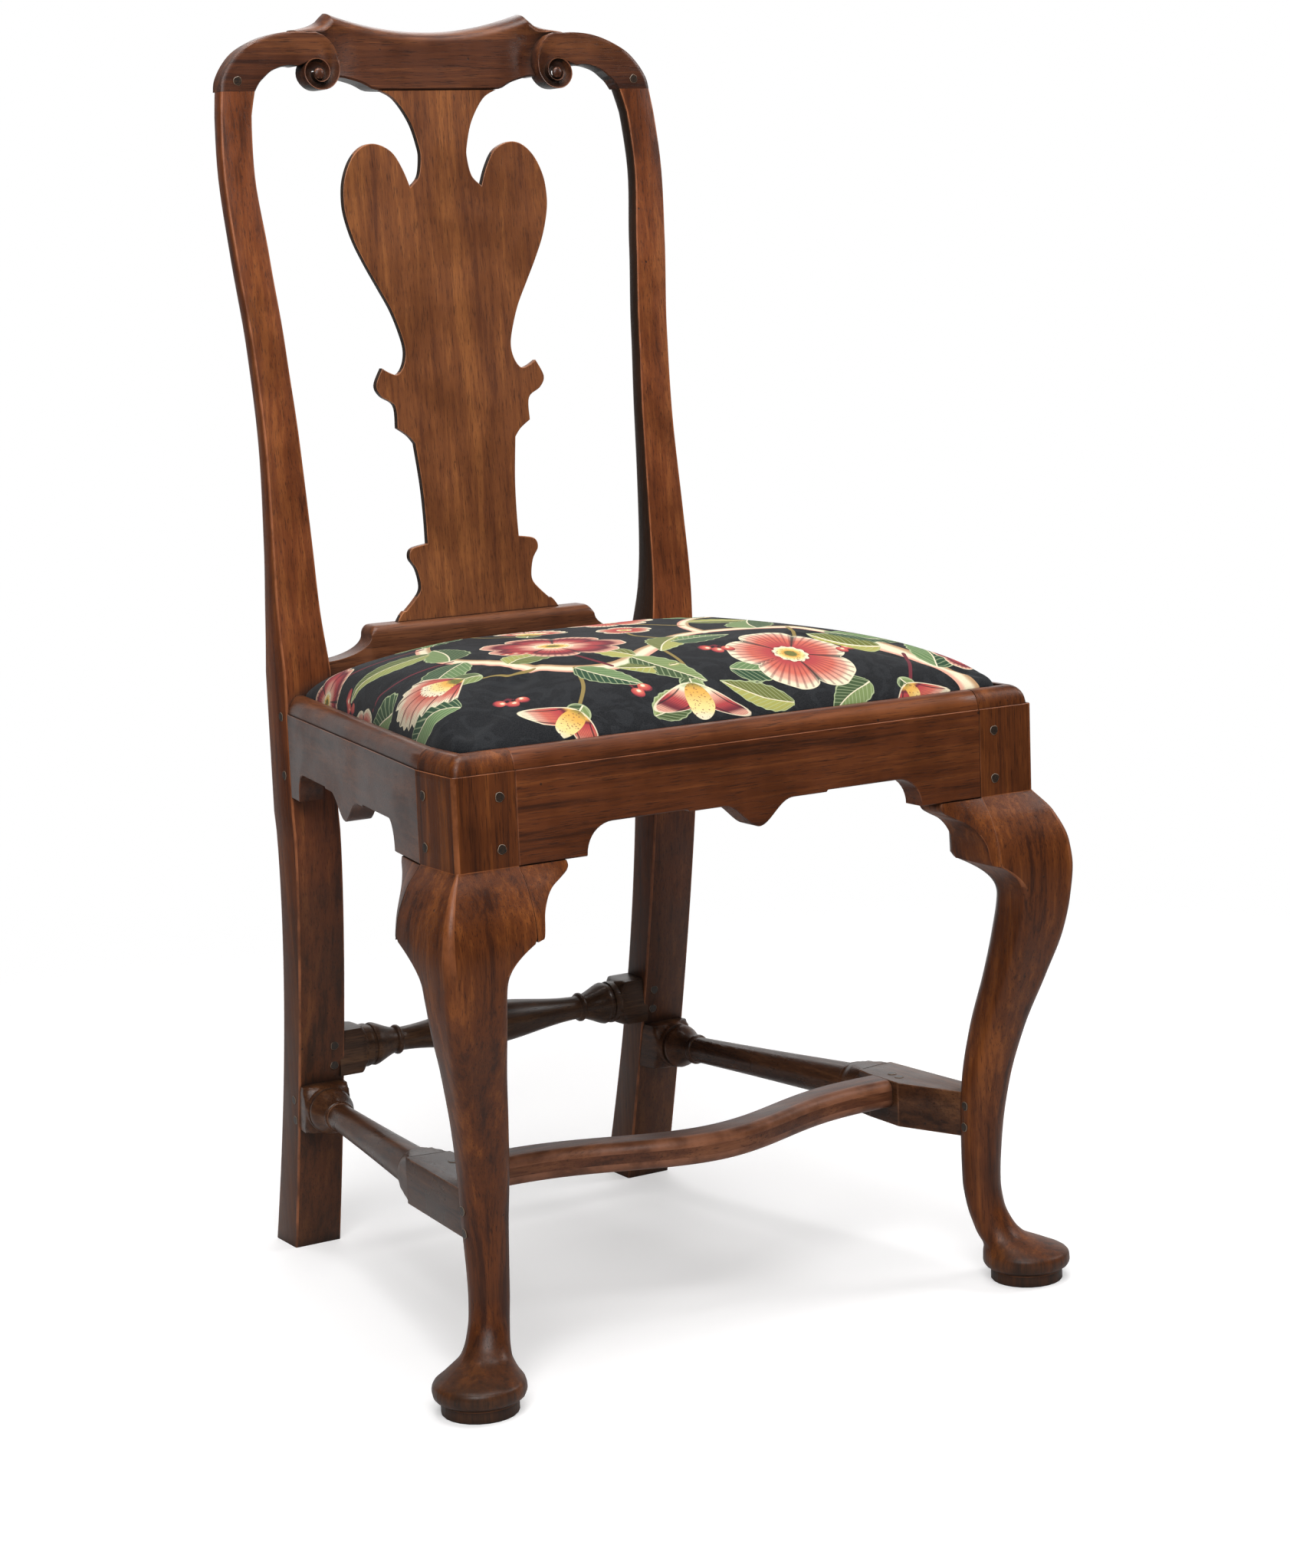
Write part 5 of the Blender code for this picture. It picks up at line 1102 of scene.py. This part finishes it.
cross_board, long_board = softwood("softwood_cross", "X"), softwood("softwood_long", "Y")
for word, _ in SIDES:
    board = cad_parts["seat_frame_" + word]
    board.data.materials.clear()
    board.data.materials.append(long_board)
for place, end, reach in (("front", 0.0, 0.1215), ("rear", 1.0, -0.0888)):
    low, high = (corner[2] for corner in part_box("seat_frame_" + place))
    sides = [end + reach * k / 20 for k in range(21)]
    rings = []
    for inset, z in ((BOARD_IN + BOARD_EASE, low), (BOARD_IN, low + BOARD_EASE),
                     (BOARD_IN, high - BOARD_EASE), (BOARD_IN + BOARD_EASE, high)):
        ring = [seat_point(-1, v, inset) for v in reversed(sides)]
        ring += [seat_point(u / 50, end, inset) for u in range(-49, 50)]
        ring += [seat_point(1, v, inset) for v in sides]
        rings.append([(x, y, z) for x, y in ring])
    bm = bmesh.new()
    drawn_out(bm, rings)
    piece("seat_board_" + place, bm, cross_board, ["seat_frame_" + place], "slip_seat")


# Webbing: jute straps 52 mm wide, strained over the seat frame, woven under and over each other and tacked
# at both ends.
WEB_MIDDLE, WEB_WIDE, WEB_LIFT = 0.4675, 0.052, 0.0006
WEB_SECTION = (
    # share of half the width, height
    (-1, 0.0001), (-0.96, -0.0005), (0.96, -0.0005), (1, 0.0001), (0.96, 0.0005), (-0.96, 0.0005),
)
WEB_IN, WEB_BACK, WEB_CROSSING = 0.010, 0.011, 0.05
bm = bmesh.new()
across_strap = bm.verts.layers.float.new("across")
front, rear = FRONT + SEAT_IN + WEB_IN, STILE_FRONT - WEB_BACK
across_at = [front + (rear - front) * share for share in (0.215, 0.50, 0.785)]
along_at = [-0.59, 0.0, 0.59]


def woven(at, crossings, first):
    """Height of a strap that goes over and under the ones it crosses."""
    lift = 0
    for j, crossing in enumerate(crossings):
        lift += first * (-1) ** j * max(1 - abs(at - crossing) / WEB_CROSSING, 0)
    return WEB_MIDDLE + WEB_LIFT * lift


def strap(line, right, rearward):
    """Flat strap along a line of points, its section drawn from end to end."""
    half = WEB_WIDE / 2
    rings = []
    for x, y, z in line:
        rings.append([(x + right * half * u, y + rearward * half * u, z + v) for u, v in WEB_SECTION])
    for loop in drawn_out(bm, rings):
        for vert, (u, _) in zip(loop, WEB_SECTION):
            vert[across_strap] = u


for i, y in enumerate(across_at):
    reach = seat_half(y) - WEB_IN
    places = [-reach + 2 * reach * k / 96 for k in range(97)]
    strap([(x, y, woven(x, [share * 0.205 for share in along_at], (-1) ** i)) for x in places], 0, 1)
for j, share in enumerate(along_at):
    places = [front + (rear - front) * k / 80 for k in range(81)]
    strap([(share * seat_half(y), y, woven(y, across_at, (-1) ** (j + 1))) for y in places], 1, 0)


def coarse_cloth(name, pitch, tones, gap, soil, rough, knots, striped=False):
    """Plain weave: uneven threads that pass over and under each other, dark gaps and patches of dust."""
    material, tree, shader, place = finish(name)
    x, y, _ = fit(tree, "SeparateXYZ", {"Vector": place}).outputs
    wave_x = sums(tree, "SINE", times(tree, x, 2 * pi / pitch))
    wave_y = sums(tree, "SINE", times(tree, y, 2 * pi / pitch))
    lengthwise = noise(tree, stretched(tree, place, (1, 0.03, 1)), 1.1 / pitch, 2)
    crosswise = noise(tree, stretched(tree, place, (0.03, 1, 1)), 1.1 / pitch, 2)
    uneven = sums(tree, "ADD", lengthwise, crosswise)
    colour = shades(tree, times(tree, uneven, 0.5), *tones)
    if striped:
        edge = sums(tree, "ABSOLUTE", painted(tree, "across"))
        near = sums(tree, "ABSOLUTE", sums(tree, "SUBTRACT", edge, 0.72))
        colour = laid(tree, ranged(tree, near, 0.045, 0.065, 0.85, 0.0), colour, (0.16, 0.035, 0.028))
    gaps = sums(tree, "MINIMUM", sums(tree, "ABSOLUTE", wave_x), sums(tree, "ABSOLUTE", wave_y))
    low, high, share, shadow = gap
    colour = laid(tree, ranged(tree, gaps, low, high, share, 0.0), colour, shadow)
    scale, low, high, share, dust = soil
    colour = laid(tree, ranged(tree, noise(tree, place, scale, 3), low, high, 0.0, share), colour, dust)
    lumps = sums(tree, "ADD", times(tree, times(tree, wave_x, wave_y), 0.5), uneven)
    plug(tree, shader, {"Base Color": colour, "Roughness": rough, "Specular IOR Level": 0.1,
                        "Normal": bumped(tree, lumps, *knots)})
    return material


jute = coarse_cloth(
    "jute_webbing", pitch=0.0034,
    tones=((0.36, (0.19, 0.115, 0.052)), (0.50, (0.34, 0.225, 0.112)), (0.64, (0.47, 0.335, 0.185))),
    gap=(0.10, 0.42, 0.70, (0.055, 0.034, 0.018)), soil=(26, 0.48, 0.72, 0.4, (0.13, 0.10, 0.075)),
    rough=0.92, knots=(0.8, 0.0006), striped=True)
piece("webbing_straps", bm, jute, ["seat_webbing"], "slip_seat")


# Sackcloth: one piece of hessian, cut to the seat's outline, laid over the webbing and tacked to the frame.
# It dips a little between the straps.
SACK_Z, SACK_IN, SACK_THICK = 0.4688, 0.008, 0.0006
bm = bmesh.new()
bmesh.ops.create_grid(bm, x_segments=60, y_segments=48, size=1)
for vert in bm.verts:
    u, v = vert.co.x, (vert.co.y + 1) / 2
    x, y = seat_point(u, v, SACK_IN)
    inner = (1 - u ** 8) * (1 - (2 * v - 1) ** 8)
    dip = 0.00025 * (cos(u * pi / 0.59) * cos((v - 0.5) * pi / 0.142) - 1) * inner
    vert.co = (x, y, SACK_Z + dip)
sack_area = sum(face.calc_area() for face in bm.faces)
hessian = coarse_cloth(
    "hessian", pitch=0.0024,
    tones=((0.37, (0.27, 0.190, 0.105)), (0.50, (0.42, 0.315, 0.190)), (0.62, (0.54, 0.425, 0.280))),
    gap=(0.12, 0.45, 0.75, (0.075, 0.050, 0.030)), soil=(15, 0.48, 0.75, 0.45, (0.21, 0.145, 0.085)),
    rough=0.94, knots=(0.7, 0.0005))
sackcloth = piece("sackcloth", bm, hessian, ["seat_sackcloth"], "slip_seat")
weft = sackcloth.modifiers.new("thickness", "SOLIDIFY")
weft.thickness = SACK_THICK
weft.offset = 1


# Seat cover: cotton cloth printed with flowers on a dark ground, drawn tight over a hair stuffing, down the
# sides of the seat frame and tacked underneath.
EDGE_Z, HEM_Z, CROWN_Z, FULLNESS = 0.4685, 0.4503, 0.5135, 0.0415
STEPS, SWELL_MOST = 20, 0.005
PRINT_SCALE, PRINT_SHIFT, PRINT_EDGE = 1.06, 0.033, 0.010
TURN_FRONT, TURN_SIDE = -0.19, 0.15
COVER_EDGE = (
    # distance in from the seat's edge, height: down the side, under the frame, and back inside
    (0.0, 0.4655), (0.0, 0.4620), (0.0, 0.4580), (0.0, 0.4545), (0.0003, 0.4518), (0.0012, HEM_Z + 0.0003),
    (0.0030, HEM_Z), (0.0090, HEM_Z), (0.0160, HEM_Z), (0.0225, HEM_Z), (0.0238, HEM_Z + 0.0004),
    (0.0225, HEM_Z + 0.0010), (0.0120, HEM_Z + 0.0010), (0.0016, HEM_Z + 0.0012), (0.0011, 0.4530),
    (0.0011, 0.4600), (0.0011, 0.4680), (0.0040, 0.4698), (0.0160, 0.4700),
)
INK = {
    "ground": (0.0060, 0.0068, 0.0085), "shadow": (0.0115, 0.0128, 0.0150), "cream": (0.74, 0.66, 0.47),
    "tan": (0.42, 0.25, 0.13), "blush": (0.66, 0.33, 0.24), "olive": (0.36, 0.34, 0.085),
    "olive_dark": (0.14, 0.15, 0.035), "wine": (0.135, 0.018, 0.028), "deep_green": (0.022, 0.060, 0.028),
    "green": (0.12, 0.20, 0.080), "pale_green": (0.40, 0.46, 0.26), "rose": (0.40, 0.050, 0.052),
    "coral": (0.56, 0.125, 0.085), "gold": (0.66, 0.36, 0.075), "pale_gold": (0.76, 0.60, 0.24),
}
bm = bmesh.new()
bmesh.ops.create_grid(bm, x_segments=138, y_segments=110, size=1)
plan_u = bm.verts.layers.float.new("plan_u")
plan_v = bm.verts.layers.float.new("plan_v")
for vert in bm.verts:
    u, v = vert.co.x, (vert.co.y + 1) / 2
    vert[plan_u], vert[plan_v] = u, v
    x, y = seat_point(u, v, 0.0)
    full = max(1 - abs(u) ** 6.4, 0.0) ** 0.40 * max(1 - abs(2 * v - 1) ** 3.9, 0.0) ** 0.75
    vert.co = (x, y, EDGE_Z + FULLNESS * full)
tight = shown("crown", bm)
places = [v.co.copy() for v in tight.data.vertices]
held = tight.vertex_groups.new(name="held")
held.add([v.index for v in bm.verts if v.is_boundary], 1.0, "REPLACE")
cloth = tight.modifiers.new("stuffing", "CLOTH")
for name, value in (("quality", 6), ("mass", 0.25), ("tension_stiffness", 30),
                    ("compression_stiffness", 30), ("shear_stiffness", 12), ("bending_stiffness", 1.0),
                    ("use_pressure", True), ("uniform_pressure_force", 4),
                    ("vertex_group_mass", "held")):
    setattr(cloth.settings, name, value)
cloth.settings.effector_weights.gravity = 0
cloth.collision_settings.use_collision = False
cloth.point_cache.frame_start, cloth.point_cache.frame_end = 1, STEPS
for step in range(1, STEPS + 1):
    scene.frame_set(step)
swollen = tight.evaluated_get(bpy.context.evaluated_depsgraph_get())
for vert, start in zip(swollen.data.vertices, list(places)):
    move = vert.co - start
    if move.length > SWELL_MOST:
        move *= SWELL_MOST / move.length
    places[vert.index] = start + move
scene.frame_set(1)
bpy.data.objects.remove(tight)
lift = (CROWN_Z - EDGE_Z) / (max(p.z for p in places) - EDGE_Z)
bm.verts.ensure_lookup_table()
for vert, point in zip(bm.verts, places):
    vert.co = (point.x, point.y, EDGE_Z + (point.z - EDGE_Z) * lift)
edges = [e for e in bm.edges if e.is_boundary]
for inset, z in COVER_EDGE:
    made = bmesh.ops.extrude_edge_only(bm, edges=edges)["geom"]
    edges = [e for e in made if isinstance(e, bmesh.types.BMEdge)]
    for vert in {v for e in edges for v in e.verts}:
        vert.co = (*seat_point(vert[plan_u], vert[plan_v], inset), z)
bmesh.ops.recalc_face_normals(bm, faces=bm.faces)


def print_colours():
    """The print's inks laid in order, each where its own drawing is above nought on the cloth."""
    material, tree, shader, place = finish("printed_cloth")

    def drawn(*names):
        return [painted(tree, name) for name in names]

    def inside(value, soft=0.00018):
        sockets = {"Value": value, "From Min": -soft, "From Max": soft}
        return fit(tree, "MapRange", sockets).outputs[0]

    def toned(value, *stops):
        return shades(tree, value, *[(at, INK[ink]) for at, ink in stops])

    def lines(value, share, soft=0.08):
        """Thin lines where a running number passes each whole."""
        near = sums(tree, "ABSOLUTE", sums(tree, "SUBTRACT", sums(tree, "FRACT", value), 0.5))
        return ranged(tree, near, 0.5 - share - soft, 0.5 - share + soft)

    damask = noise(tree, place, 34, 2, 0.5, 2.2)
    ground = laid(tree, ranged(tree, damask, 0.50, 0.56), INK["ground"], INK["shadow"])
    branch, side, stem, stem_tint = drawn("branch", "branch_x", "stem", "stem_t")
    rounded = ranged(tree, side, -1.0, 1.0)
    bark = toned(rounded, (0.0, "tan"), (0.35, "cream"), (0.72, "cream"), (1.0, "blush"))
    colour = laid(tree, inside(branch), ground, bark)
    twig = laid(tree, inside(stem_tint, 0.3), INK["olive"], INK["wine"])
    colour = laid(tree, inside(stem), colour, twig)

    leaf, over, up, tint = drawn("leaf", "leaf_x", "leaf_y", "leaf_t")
    deep = laid(tree, tint, INK["deep_green"], INK["olive_dark"])
    pale = laid(tree, tint, INK["green"], INK["olive"])
    blade = laid(tree, inside(over, 0.0003), deep, pale)
    aside = sums(tree, "ABSOLUTE", over)
    slant = sums(tree, "SUBTRACT", up, times(tree, aside, 0.9))
    veins = lines(times(tree, slant, 190.0), 0.09)
    blade = laid(tree, times(tree, veins, 0.55), blade, INK["pale_green"])
    rib = sums(tree, "SUBTRACT", 0.0006, aside)
    blade = laid(tree, inside(rib), blade, INK["cream"])
    edge = inside(sums(tree, "SUBTRACT", 0.0011, leaf))
    blade = laid(tree, times(tree, edge, 0.75), blade, INK["pale_green"])
    colour = laid(tree, inside(leaf), colour, blade)

    bloom, turn, out, tint = drawn("bloom", "bloom_x", "bloom_y", "bloom_t")
    warm = toned(out, (0.10, "gold"), (0.24, "wine"), (0.34, "rose"), (0.62, "coral"), (0.82, "blush"),
                 (0.93, "cream"))
    cool = toned(out, (0.10, "pale_green"), (0.22, "cream"), (0.36, "blush"), (0.58, "rose"), (0.80, "wine"),
                 (0.93, "blush"))
    petals = laid(tree, tint, warm, cool)
    strokes = lines(times(tree, turn, 9.0), 0.16)
    petals = laid(tree, times(tree, strokes, ranged(tree, out, 0.30, 0.55, 0.0, 0.55)), petals, INK["wine"])
    gaps = lines(sums(tree, "ADD", turn, 0.5), 0.035, 0.02)
    petals = laid(tree, times(tree, gaps, ranged(tree, out, 0.2, 0.3, 0.0, 0.9)), petals, INK["shadow"])
    rim = inside(sums(tree, "SUBTRACT", 0.0012, bloom))
    petals = laid(tree, times(tree, rim, 0.8), petals, INK["cream"])
    colour = laid(tree, inside(bloom), colour, petals)

    heart, core, berry, shine = drawn("heart", "heart_y", "berry", "berry_y")
    seed = toned(core, (0.30, "olive_dark"), (0.45, "gold"), (0.70, "pale_gold"), (0.90, "cream"))
    dots = fit(tree, "TexVoronoi", {"Vector": place, "Scale": 420.0}).outputs["Distance"]
    seed = laid(tree, ranged(tree, dots, 0.20, 0.34, 0.7, 0.0), seed, INK["wine"])
    colour = laid(tree, inside(heart), colour, seed)
    fruit = toned(shine, (0.15, "cream"), (0.35, "coral"), (0.75, "rose"), (0.95, "wine"))
    colour = laid(tree, inside(berry), colour, fruit)

    threads = noise(tree, place, 1500, 2, 0.7)
    slubs = bumped(tree, threads, 0.35, 0.0004)
    plug(tree, shader, {
        "Base Color": laid(tree, ranged(tree, threads, 0.35, 0.75, 0.0, 0.20), colour, (0.09, 0.09, 0.09)),
        "Roughness": 0.78,
        "Specular IOR Level": 0.08,
        "Sheen Weight": 0.05,
        "Sheen Roughness": 0.5,
        "Normal": bumped(tree, noise(tree, place, 20, 3), 0.25, 0.004, Normal=slubs),
    })
    return material


within = ["seat_cover", "seat_stuffing"]
cover = piece("cushion", bm, print_colours(), within, "slip_seat", 80)
fine = cover.modifiers.new("fine", "SUBSURF")
fine.levels = fine.render_levels = 1
smoothed = bpy.data.meshes.new_from_object(cover.evaluated_get(bpy.context.evaluated_depsgraph_get()))
cover.modifiers.clear()
bm = bmesh.new()
bm.from_mesh(smoothed)
bmesh.ops.contextual_create(bm, geom=[e for e in bm.edges if e.is_boundary])
bm.to_mesh(smoothed)
bm.free()
cover.data = smoothed
count = len(smoothed.vertices)
points = np.empty(count * 3)
smoothed.vertices.foreach_get("co", points)
x, y, z = points.reshape(-1, 3).T
drop = np.maximum(EDGE_Z + PRINT_EDGE - z, 0.0)
cloth_a = x * PRINT_SCALE + np.sign(x) * np.where(np.abs(x) > TURN_SIDE, drop, 0.0)
cloth_b = (y + PRINT_SHIFT) * PRINT_SCALE - np.where(y < TURN_FRONT, drop, 0.0)
inks = {}
for layer, facts in (("branch", "x"), ("stem", "t"), ("leaf", "xyt"), ("bloom", "xyt"), ("heart", "y"),
                     ("berry", "y")):
    inks[layer] = np.full(count, -1.0)
    for fact in facts:
        inks[f"{layer}_{fact}"] = np.zeros(count)


def mark(layer, shape, **facts):
    """Draws a shape, positive inside, on a layer, with the running numbers that its inks read."""
    nearer = shape > inks[layer]
    inks[layer] = np.where(nearer, shape, inks[layer])
    for name, value in facts.items():
        inks[f"{layer}_{name}"] = np.where(nearer, value, inks[f"{layer}_{name}"])


def local(x, y, turn):
    """Places on the cloth as seen from a motif: along its own direction and across it."""
    c, s = np.cos(np.radians(turn)), np.sin(np.radians(turn))
    a, b = cloth_a - x, cloth_b - y
    return a * c + b * s, b * c - a * s


def bough(layer, route, thick, thin, **facts):
    """A stem along a smooth route, tapering from thick to thin."""
    line = through(route, 8)
    best, side = np.full(count, -1.0), np.zeros(count)
    for k, ((x, y), (z, w)) in enumerate(zip(line, line[1:])):
        length = max(((z - x) ** 2 + (w - y) ** 2) ** 0.5, 1e-6)
        p = ((cloth_a - x) * (z - x) + (cloth_b - y) * (w - y)) / length
        q = ((cloth_b - y) * (z - x) - (cloth_a - x) * (w - y)) / length
        radius = thick + (thin - thick) * (k + np.clip(p / length, 0, 1)) / (len(line) - 1)
        away = radius - np.hypot(p - np.clip(p, 0, length), q)
        side = np.where(away > best, q / radius, side)
        best = np.maximum(best, away)
    mark(layer, best, **({"x": side} if layer == "branch" else facts))


def leaf(x, y, turn, length, wide, tint, bend):
    """A bent leaf with seven teeth along each side."""
    p, q = local(x, y, turn)
    u = np.clip(p / length, 0, 1)
    q = q - bend * length * u * u
    half = wide * np.sin(np.pi * u ** 0.72) ** 0.85
    half = half * (1 + 0.20 * (np.abs((u * 7) % 1.0 - 0.5) - 0.25))
    shape = np.where((p > 0) & (p < length), (half - np.abs(q)) * 0.85, -np.maximum(-p, p - length) - 0.001)
    mark("leaf", shape, x=q, y=p, t=tint)


def rosette(x, y, turn, petals, reach, tint):
    """An open flower with notched petals around a round heart."""
    p, q = local(x, y, turn)
    r, t = np.hypot(p, q), np.arctan2(q, p)
    wave = np.abs(np.cos(petals * t / 2))
    outline = reach * (0.74 + 0.26 * wave ** 0.55 - 0.06 * np.maximum(np.cos(petals * t) - 0.55, 0))
    mark("bloom", outline - r, x=t * petals / (2 * np.pi), y=r / outline, t=tint)
    core = reach * 0.27
    mark("heart", core * (1 + 0.07 * np.cos(11 * t)) - r, y=r / core)


def pink(x, y, turn, reach, tint):
    """A fan-shaped flower with a fringed edge over a green cup."""
    spread = radians(62)
    p, q = local(x, y, turn)
    r, t = np.hypot(p + 0.15 * reach, q), np.arctan2(q, p + 0.15 * reach)
    fringe = np.abs((t * 5.2) % 1.0 - 0.5)
    outline = reach * (1.04 + 0.20 * fringe - 0.22 * (t / spread) ** 2)
    fan = (spread - np.abs(t)) * r
    mark("bloom", np.minimum(outline - r, fan), x=t * 2.6, y=np.clip(r / outline, 0, 1), t=tint)
    inner = reach * (0.62 + 0.14 * np.abs((t * 6.5) % 1.0 - 0.5))
    fan = (0.62 * spread - np.abs(t)) * r
    mark("heart", np.minimum(inner - r, fan), y=np.clip(r / inner, 0, 1))
    cup = 0.34 * reach * (1 - np.hypot(p / (0.42 * reach), q / (0.27 * reach)))
    mark("leaf", cup, x=q, y=p, t=0.3)


def cup_flower(x, y, turn, reach, tint):
    """A flower seen from the side: two outer petals that curl away and a middle one between them."""
    for lean in (-27, 27):
        p, q = local(x, y, turn + lean)
        q = q - np.sign(lean) * 0.35 * reach * np.clip(p / reach, 0, 1.2) ** 2
        petal = 0.30 * reach * (1 - np.hypot((p - 0.52 * reach) / (0.56 * reach), q / (0.27 * reach)))
        mark("bloom", petal, x=q / reach * 3, y=np.clip(p / reach, 0.12, 0.95), t=tint)
    p, q = local(x, y, turn)
    petal = 0.30 * reach * (1 - np.hypot((p - 0.46 * reach) / (0.50 * reach), q / (0.24 * reach)))
    mark("heart", petal, y=np.clip(0.35 + 0.6 * p / reach, 0.3, 0.95))
    mark("leaf", 0.2 * reach * (1 - np.hypot(p / (0.26 * reach), q / (0.22 * reach))), x=q, y=p, t=0.2)


def fruits(x, y, turn, size, number):
    """Berries on short stalks that spread like a fan."""
    for k in range(number):
        away = turn + (k - (number - 1) / 2) * 52
        c, s = cos(radians(away)), sin(radians(away))
        p, q = local(x + 2.1 * size * c, y + 2.1 * size * s, away)
        ball = np.hypot(p, q * 1.12)
        mark("berry", size - ball, y=np.hypot(p + 0.3 * size, q - 0.3 * size) / (1.3 * size))
        bough("stem", [(x, y), (x + 1.2 * size * c, y + 1.2 * size * s)], 0.0011, 0.0009, t=1.0)


bough("branch", [(0.245, -0.245), (0.190, -0.140), (0.130, -0.062), (0.050, -0.042), (-0.012, -0.086),
                 (-0.070, -0.118), (-0.128, -0.098), (-0.160, -0.025), (-0.142, 0.060), (-0.085, 0.112),
                 (-0.020, 0.150), (0.060, 0.150), (0.120, 0.215)], 0.0088, 0.0046)
bough("branch", [(0.060, -0.044), (0.075, 0.010), (0.110, 0.050), (0.170, 0.060), (0.240, 0.100)],
      0.0056, 0.0030)
for route, tint in (([(0.130, -0.062), (0.115, -0.095), (0.090, -0.120)], 0.0),
                    ([(-0.070, -0.118), (-0.085, -0.080), (-0.070, -0.045)], 1.0),
                    ([(-0.128, -0.098), (-0.160, -0.100), (-0.185, -0.085)], 0.0),
                    ([(0.160, -0.095), (0.185, -0.070), (0.200, -0.045)], 1.0),
                    ([(-0.012, -0.086), (-0.012, -0.125), (-0.022, -0.160)], 0.0),
                    ([(0.190, -0.140), (0.178, -0.165), (0.160, -0.190)], 1.0),
                    ([(-0.100, -0.112), (-0.112, -0.145), (-0.135, -0.175)], 0.0),
                    ([(-0.160, -0.025), (-0.200, -0.010), (-0.240, 0.020)], 1.0),
                    ([(0.020, -0.062), (0.010, -0.020), (0.022, 0.015)], 0.0),
                    ([(0.075, 0.010), (0.055, 0.050), (0.050, 0.080)], 0.0),
                    ([(-0.142, 0.060), (-0.180, 0.085), (-0.200, 0.120)], 1.0),
                    ([(-0.085, 0.112), (-0.080, 0.070), (-0.055, 0.045)], 0.0),
                    ([(0.170, 0.060), (0.165, 0.100), (0.175, 0.140)], 1.0)):
    bough("stem", route, 0.0018, 0.0012, t=tint)
for x, y, turn, petals, reach, tint in (
        (0.086, -0.132, 18, 5, 0.053, 0.0), (-0.072, -0.030, -15, 7, 0.060, 1.0),
        (-0.243, 0.024, 40, 5, 0.028, 0.0), (0.024, 0.020, 70, 5, 0.024, 0.0),
        (0.242, -0.148, 10, 5, 0.026, 1.0), (0.048, 0.092, 30, 7, 0.042, 0.0),
        (-0.206, 0.128, 15, 5, 0.034, 1.0)):
    rosette(x, y, turn, petals, reach, tint)
for x, y, turn, reach, tint in ((-0.190, -0.086, 172, 0.052, 0.0), (0.200, -0.040, 42, 0.048, 1.0),
                                (-0.048, 0.052, 55, 0.040, 0.0), (0.176, 0.140, 70, 0.042, 1.0)):
    pink(x, y, turn, reach, tint)
for x, y, turn, reach, tint in ((-0.024, -0.160, -105, 0.046, 1.0), (0.160, -0.190, -70, 0.042, 0.0),
                                (-0.135, -0.176, -140, 0.042, 0.0)):
    cup_flower(x, y, turn, reach, tint)
for x, y, turn, length, wide, tint, bend in (
        (0.150, -0.085, -35, 0.060, 0.016, 0.0, 0.25), (0.108, -0.050, 75, 0.058, 0.017, 0.1, -0.22),
        (0.030, -0.052, 215, 0.056, 0.015, 0.9, 0.22), (0.000, -0.076, 20, 0.058, 0.016, 0.0, -0.25),
        (-0.045, -0.105, -70, 0.054, 0.015, 0.2, 0.25), (-0.040, -0.103, 130, 0.044, 0.012, 1.0, -0.2),
        (-0.100, -0.112, -65, 0.046, 0.013, 0.0, 0.3), (-0.140, -0.080, 30, 0.050, 0.014, 0.8, -0.3),
        (-0.158, -0.040, 205, 0.062, 0.017, 0.0, 0.25), (-0.160, -0.020, 60, 0.054, 0.015, 0.1, 0.25),
        (-0.150, 0.030, 165, 0.058, 0.016, 0.6, -0.25), (-0.128, 0.080, 20, 0.050, 0.014, 0.0, 0.3),
        (0.178, -0.125, 160, 0.050, 0.013, 1.0, -0.3), (0.205, -0.165, 60, 0.054, 0.015, 0.0, 0.3),
        (0.020, -0.145, -25, 0.046, 0.013, 0.0, 0.3), (-0.015, -0.128, 190, 0.046, 0.012, 0.9, -0.3),
        (0.128, -0.180, 200, 0.050, 0.014, 0.2, 0.3), (0.050, -0.195, 160, 0.050, 0.014, 0.9, -0.3),
        (-0.215, -0.140, 130, 0.058, 0.017, 0.0, 0.3), (-0.225, -0.045, 100, 0.052, 0.015, 0.1, 0.3),
        (-0.075, -0.190, 15, 0.046, 0.013, 0.3, 0.3), (0.225, -0.090, 80, 0.050, 0.014, 0.7, 0.3),
        (0.120, 0.052, 100, 0.050, 0.014, 0.0, 0.3), (0.090, 0.030, -20, 0.050, 0.014, 0.9, -0.3),
        (-0.020, 0.150, 60, 0.050, 0.015, 0.0, 0.3), (0.100, 0.180, 20, 0.050, 0.014, 0.4, 0.3),
        (-0.100, 0.105, 130, 0.056, 0.016, 0.0, -0.3), (0.225, 0.080, 90, 0.052, 0.015, 0.1, 0.3)):
    leaf(x, y, turn, 1.16 * length, 1.22 * wide, tint, bend)
for x, y, turn, size, number in ((0.035, -0.100, -110, 0.0058, 3), (-0.118, -0.055, 60, 0.0054, 3),
                                 (0.135, -0.120, -60, 0.0056, 2), (-0.175, -0.140, -100, 0.0056, 3),
                                 (-0.075, -0.150, -60, 0.0058, 2), (0.150, 0.000, 20, 0.0056, 3),
                                 (-0.205, 0.060, 150, 0.0056, 3), (-0.010, 0.100, 100, 0.0056, 3)):
    fruits(x, y, turn, size, number)
for name, values in inks.items():
    smoothed.attributes.new(name, "FLOAT", "POINT").data.foreach_set("value", values.astype(np.float32))
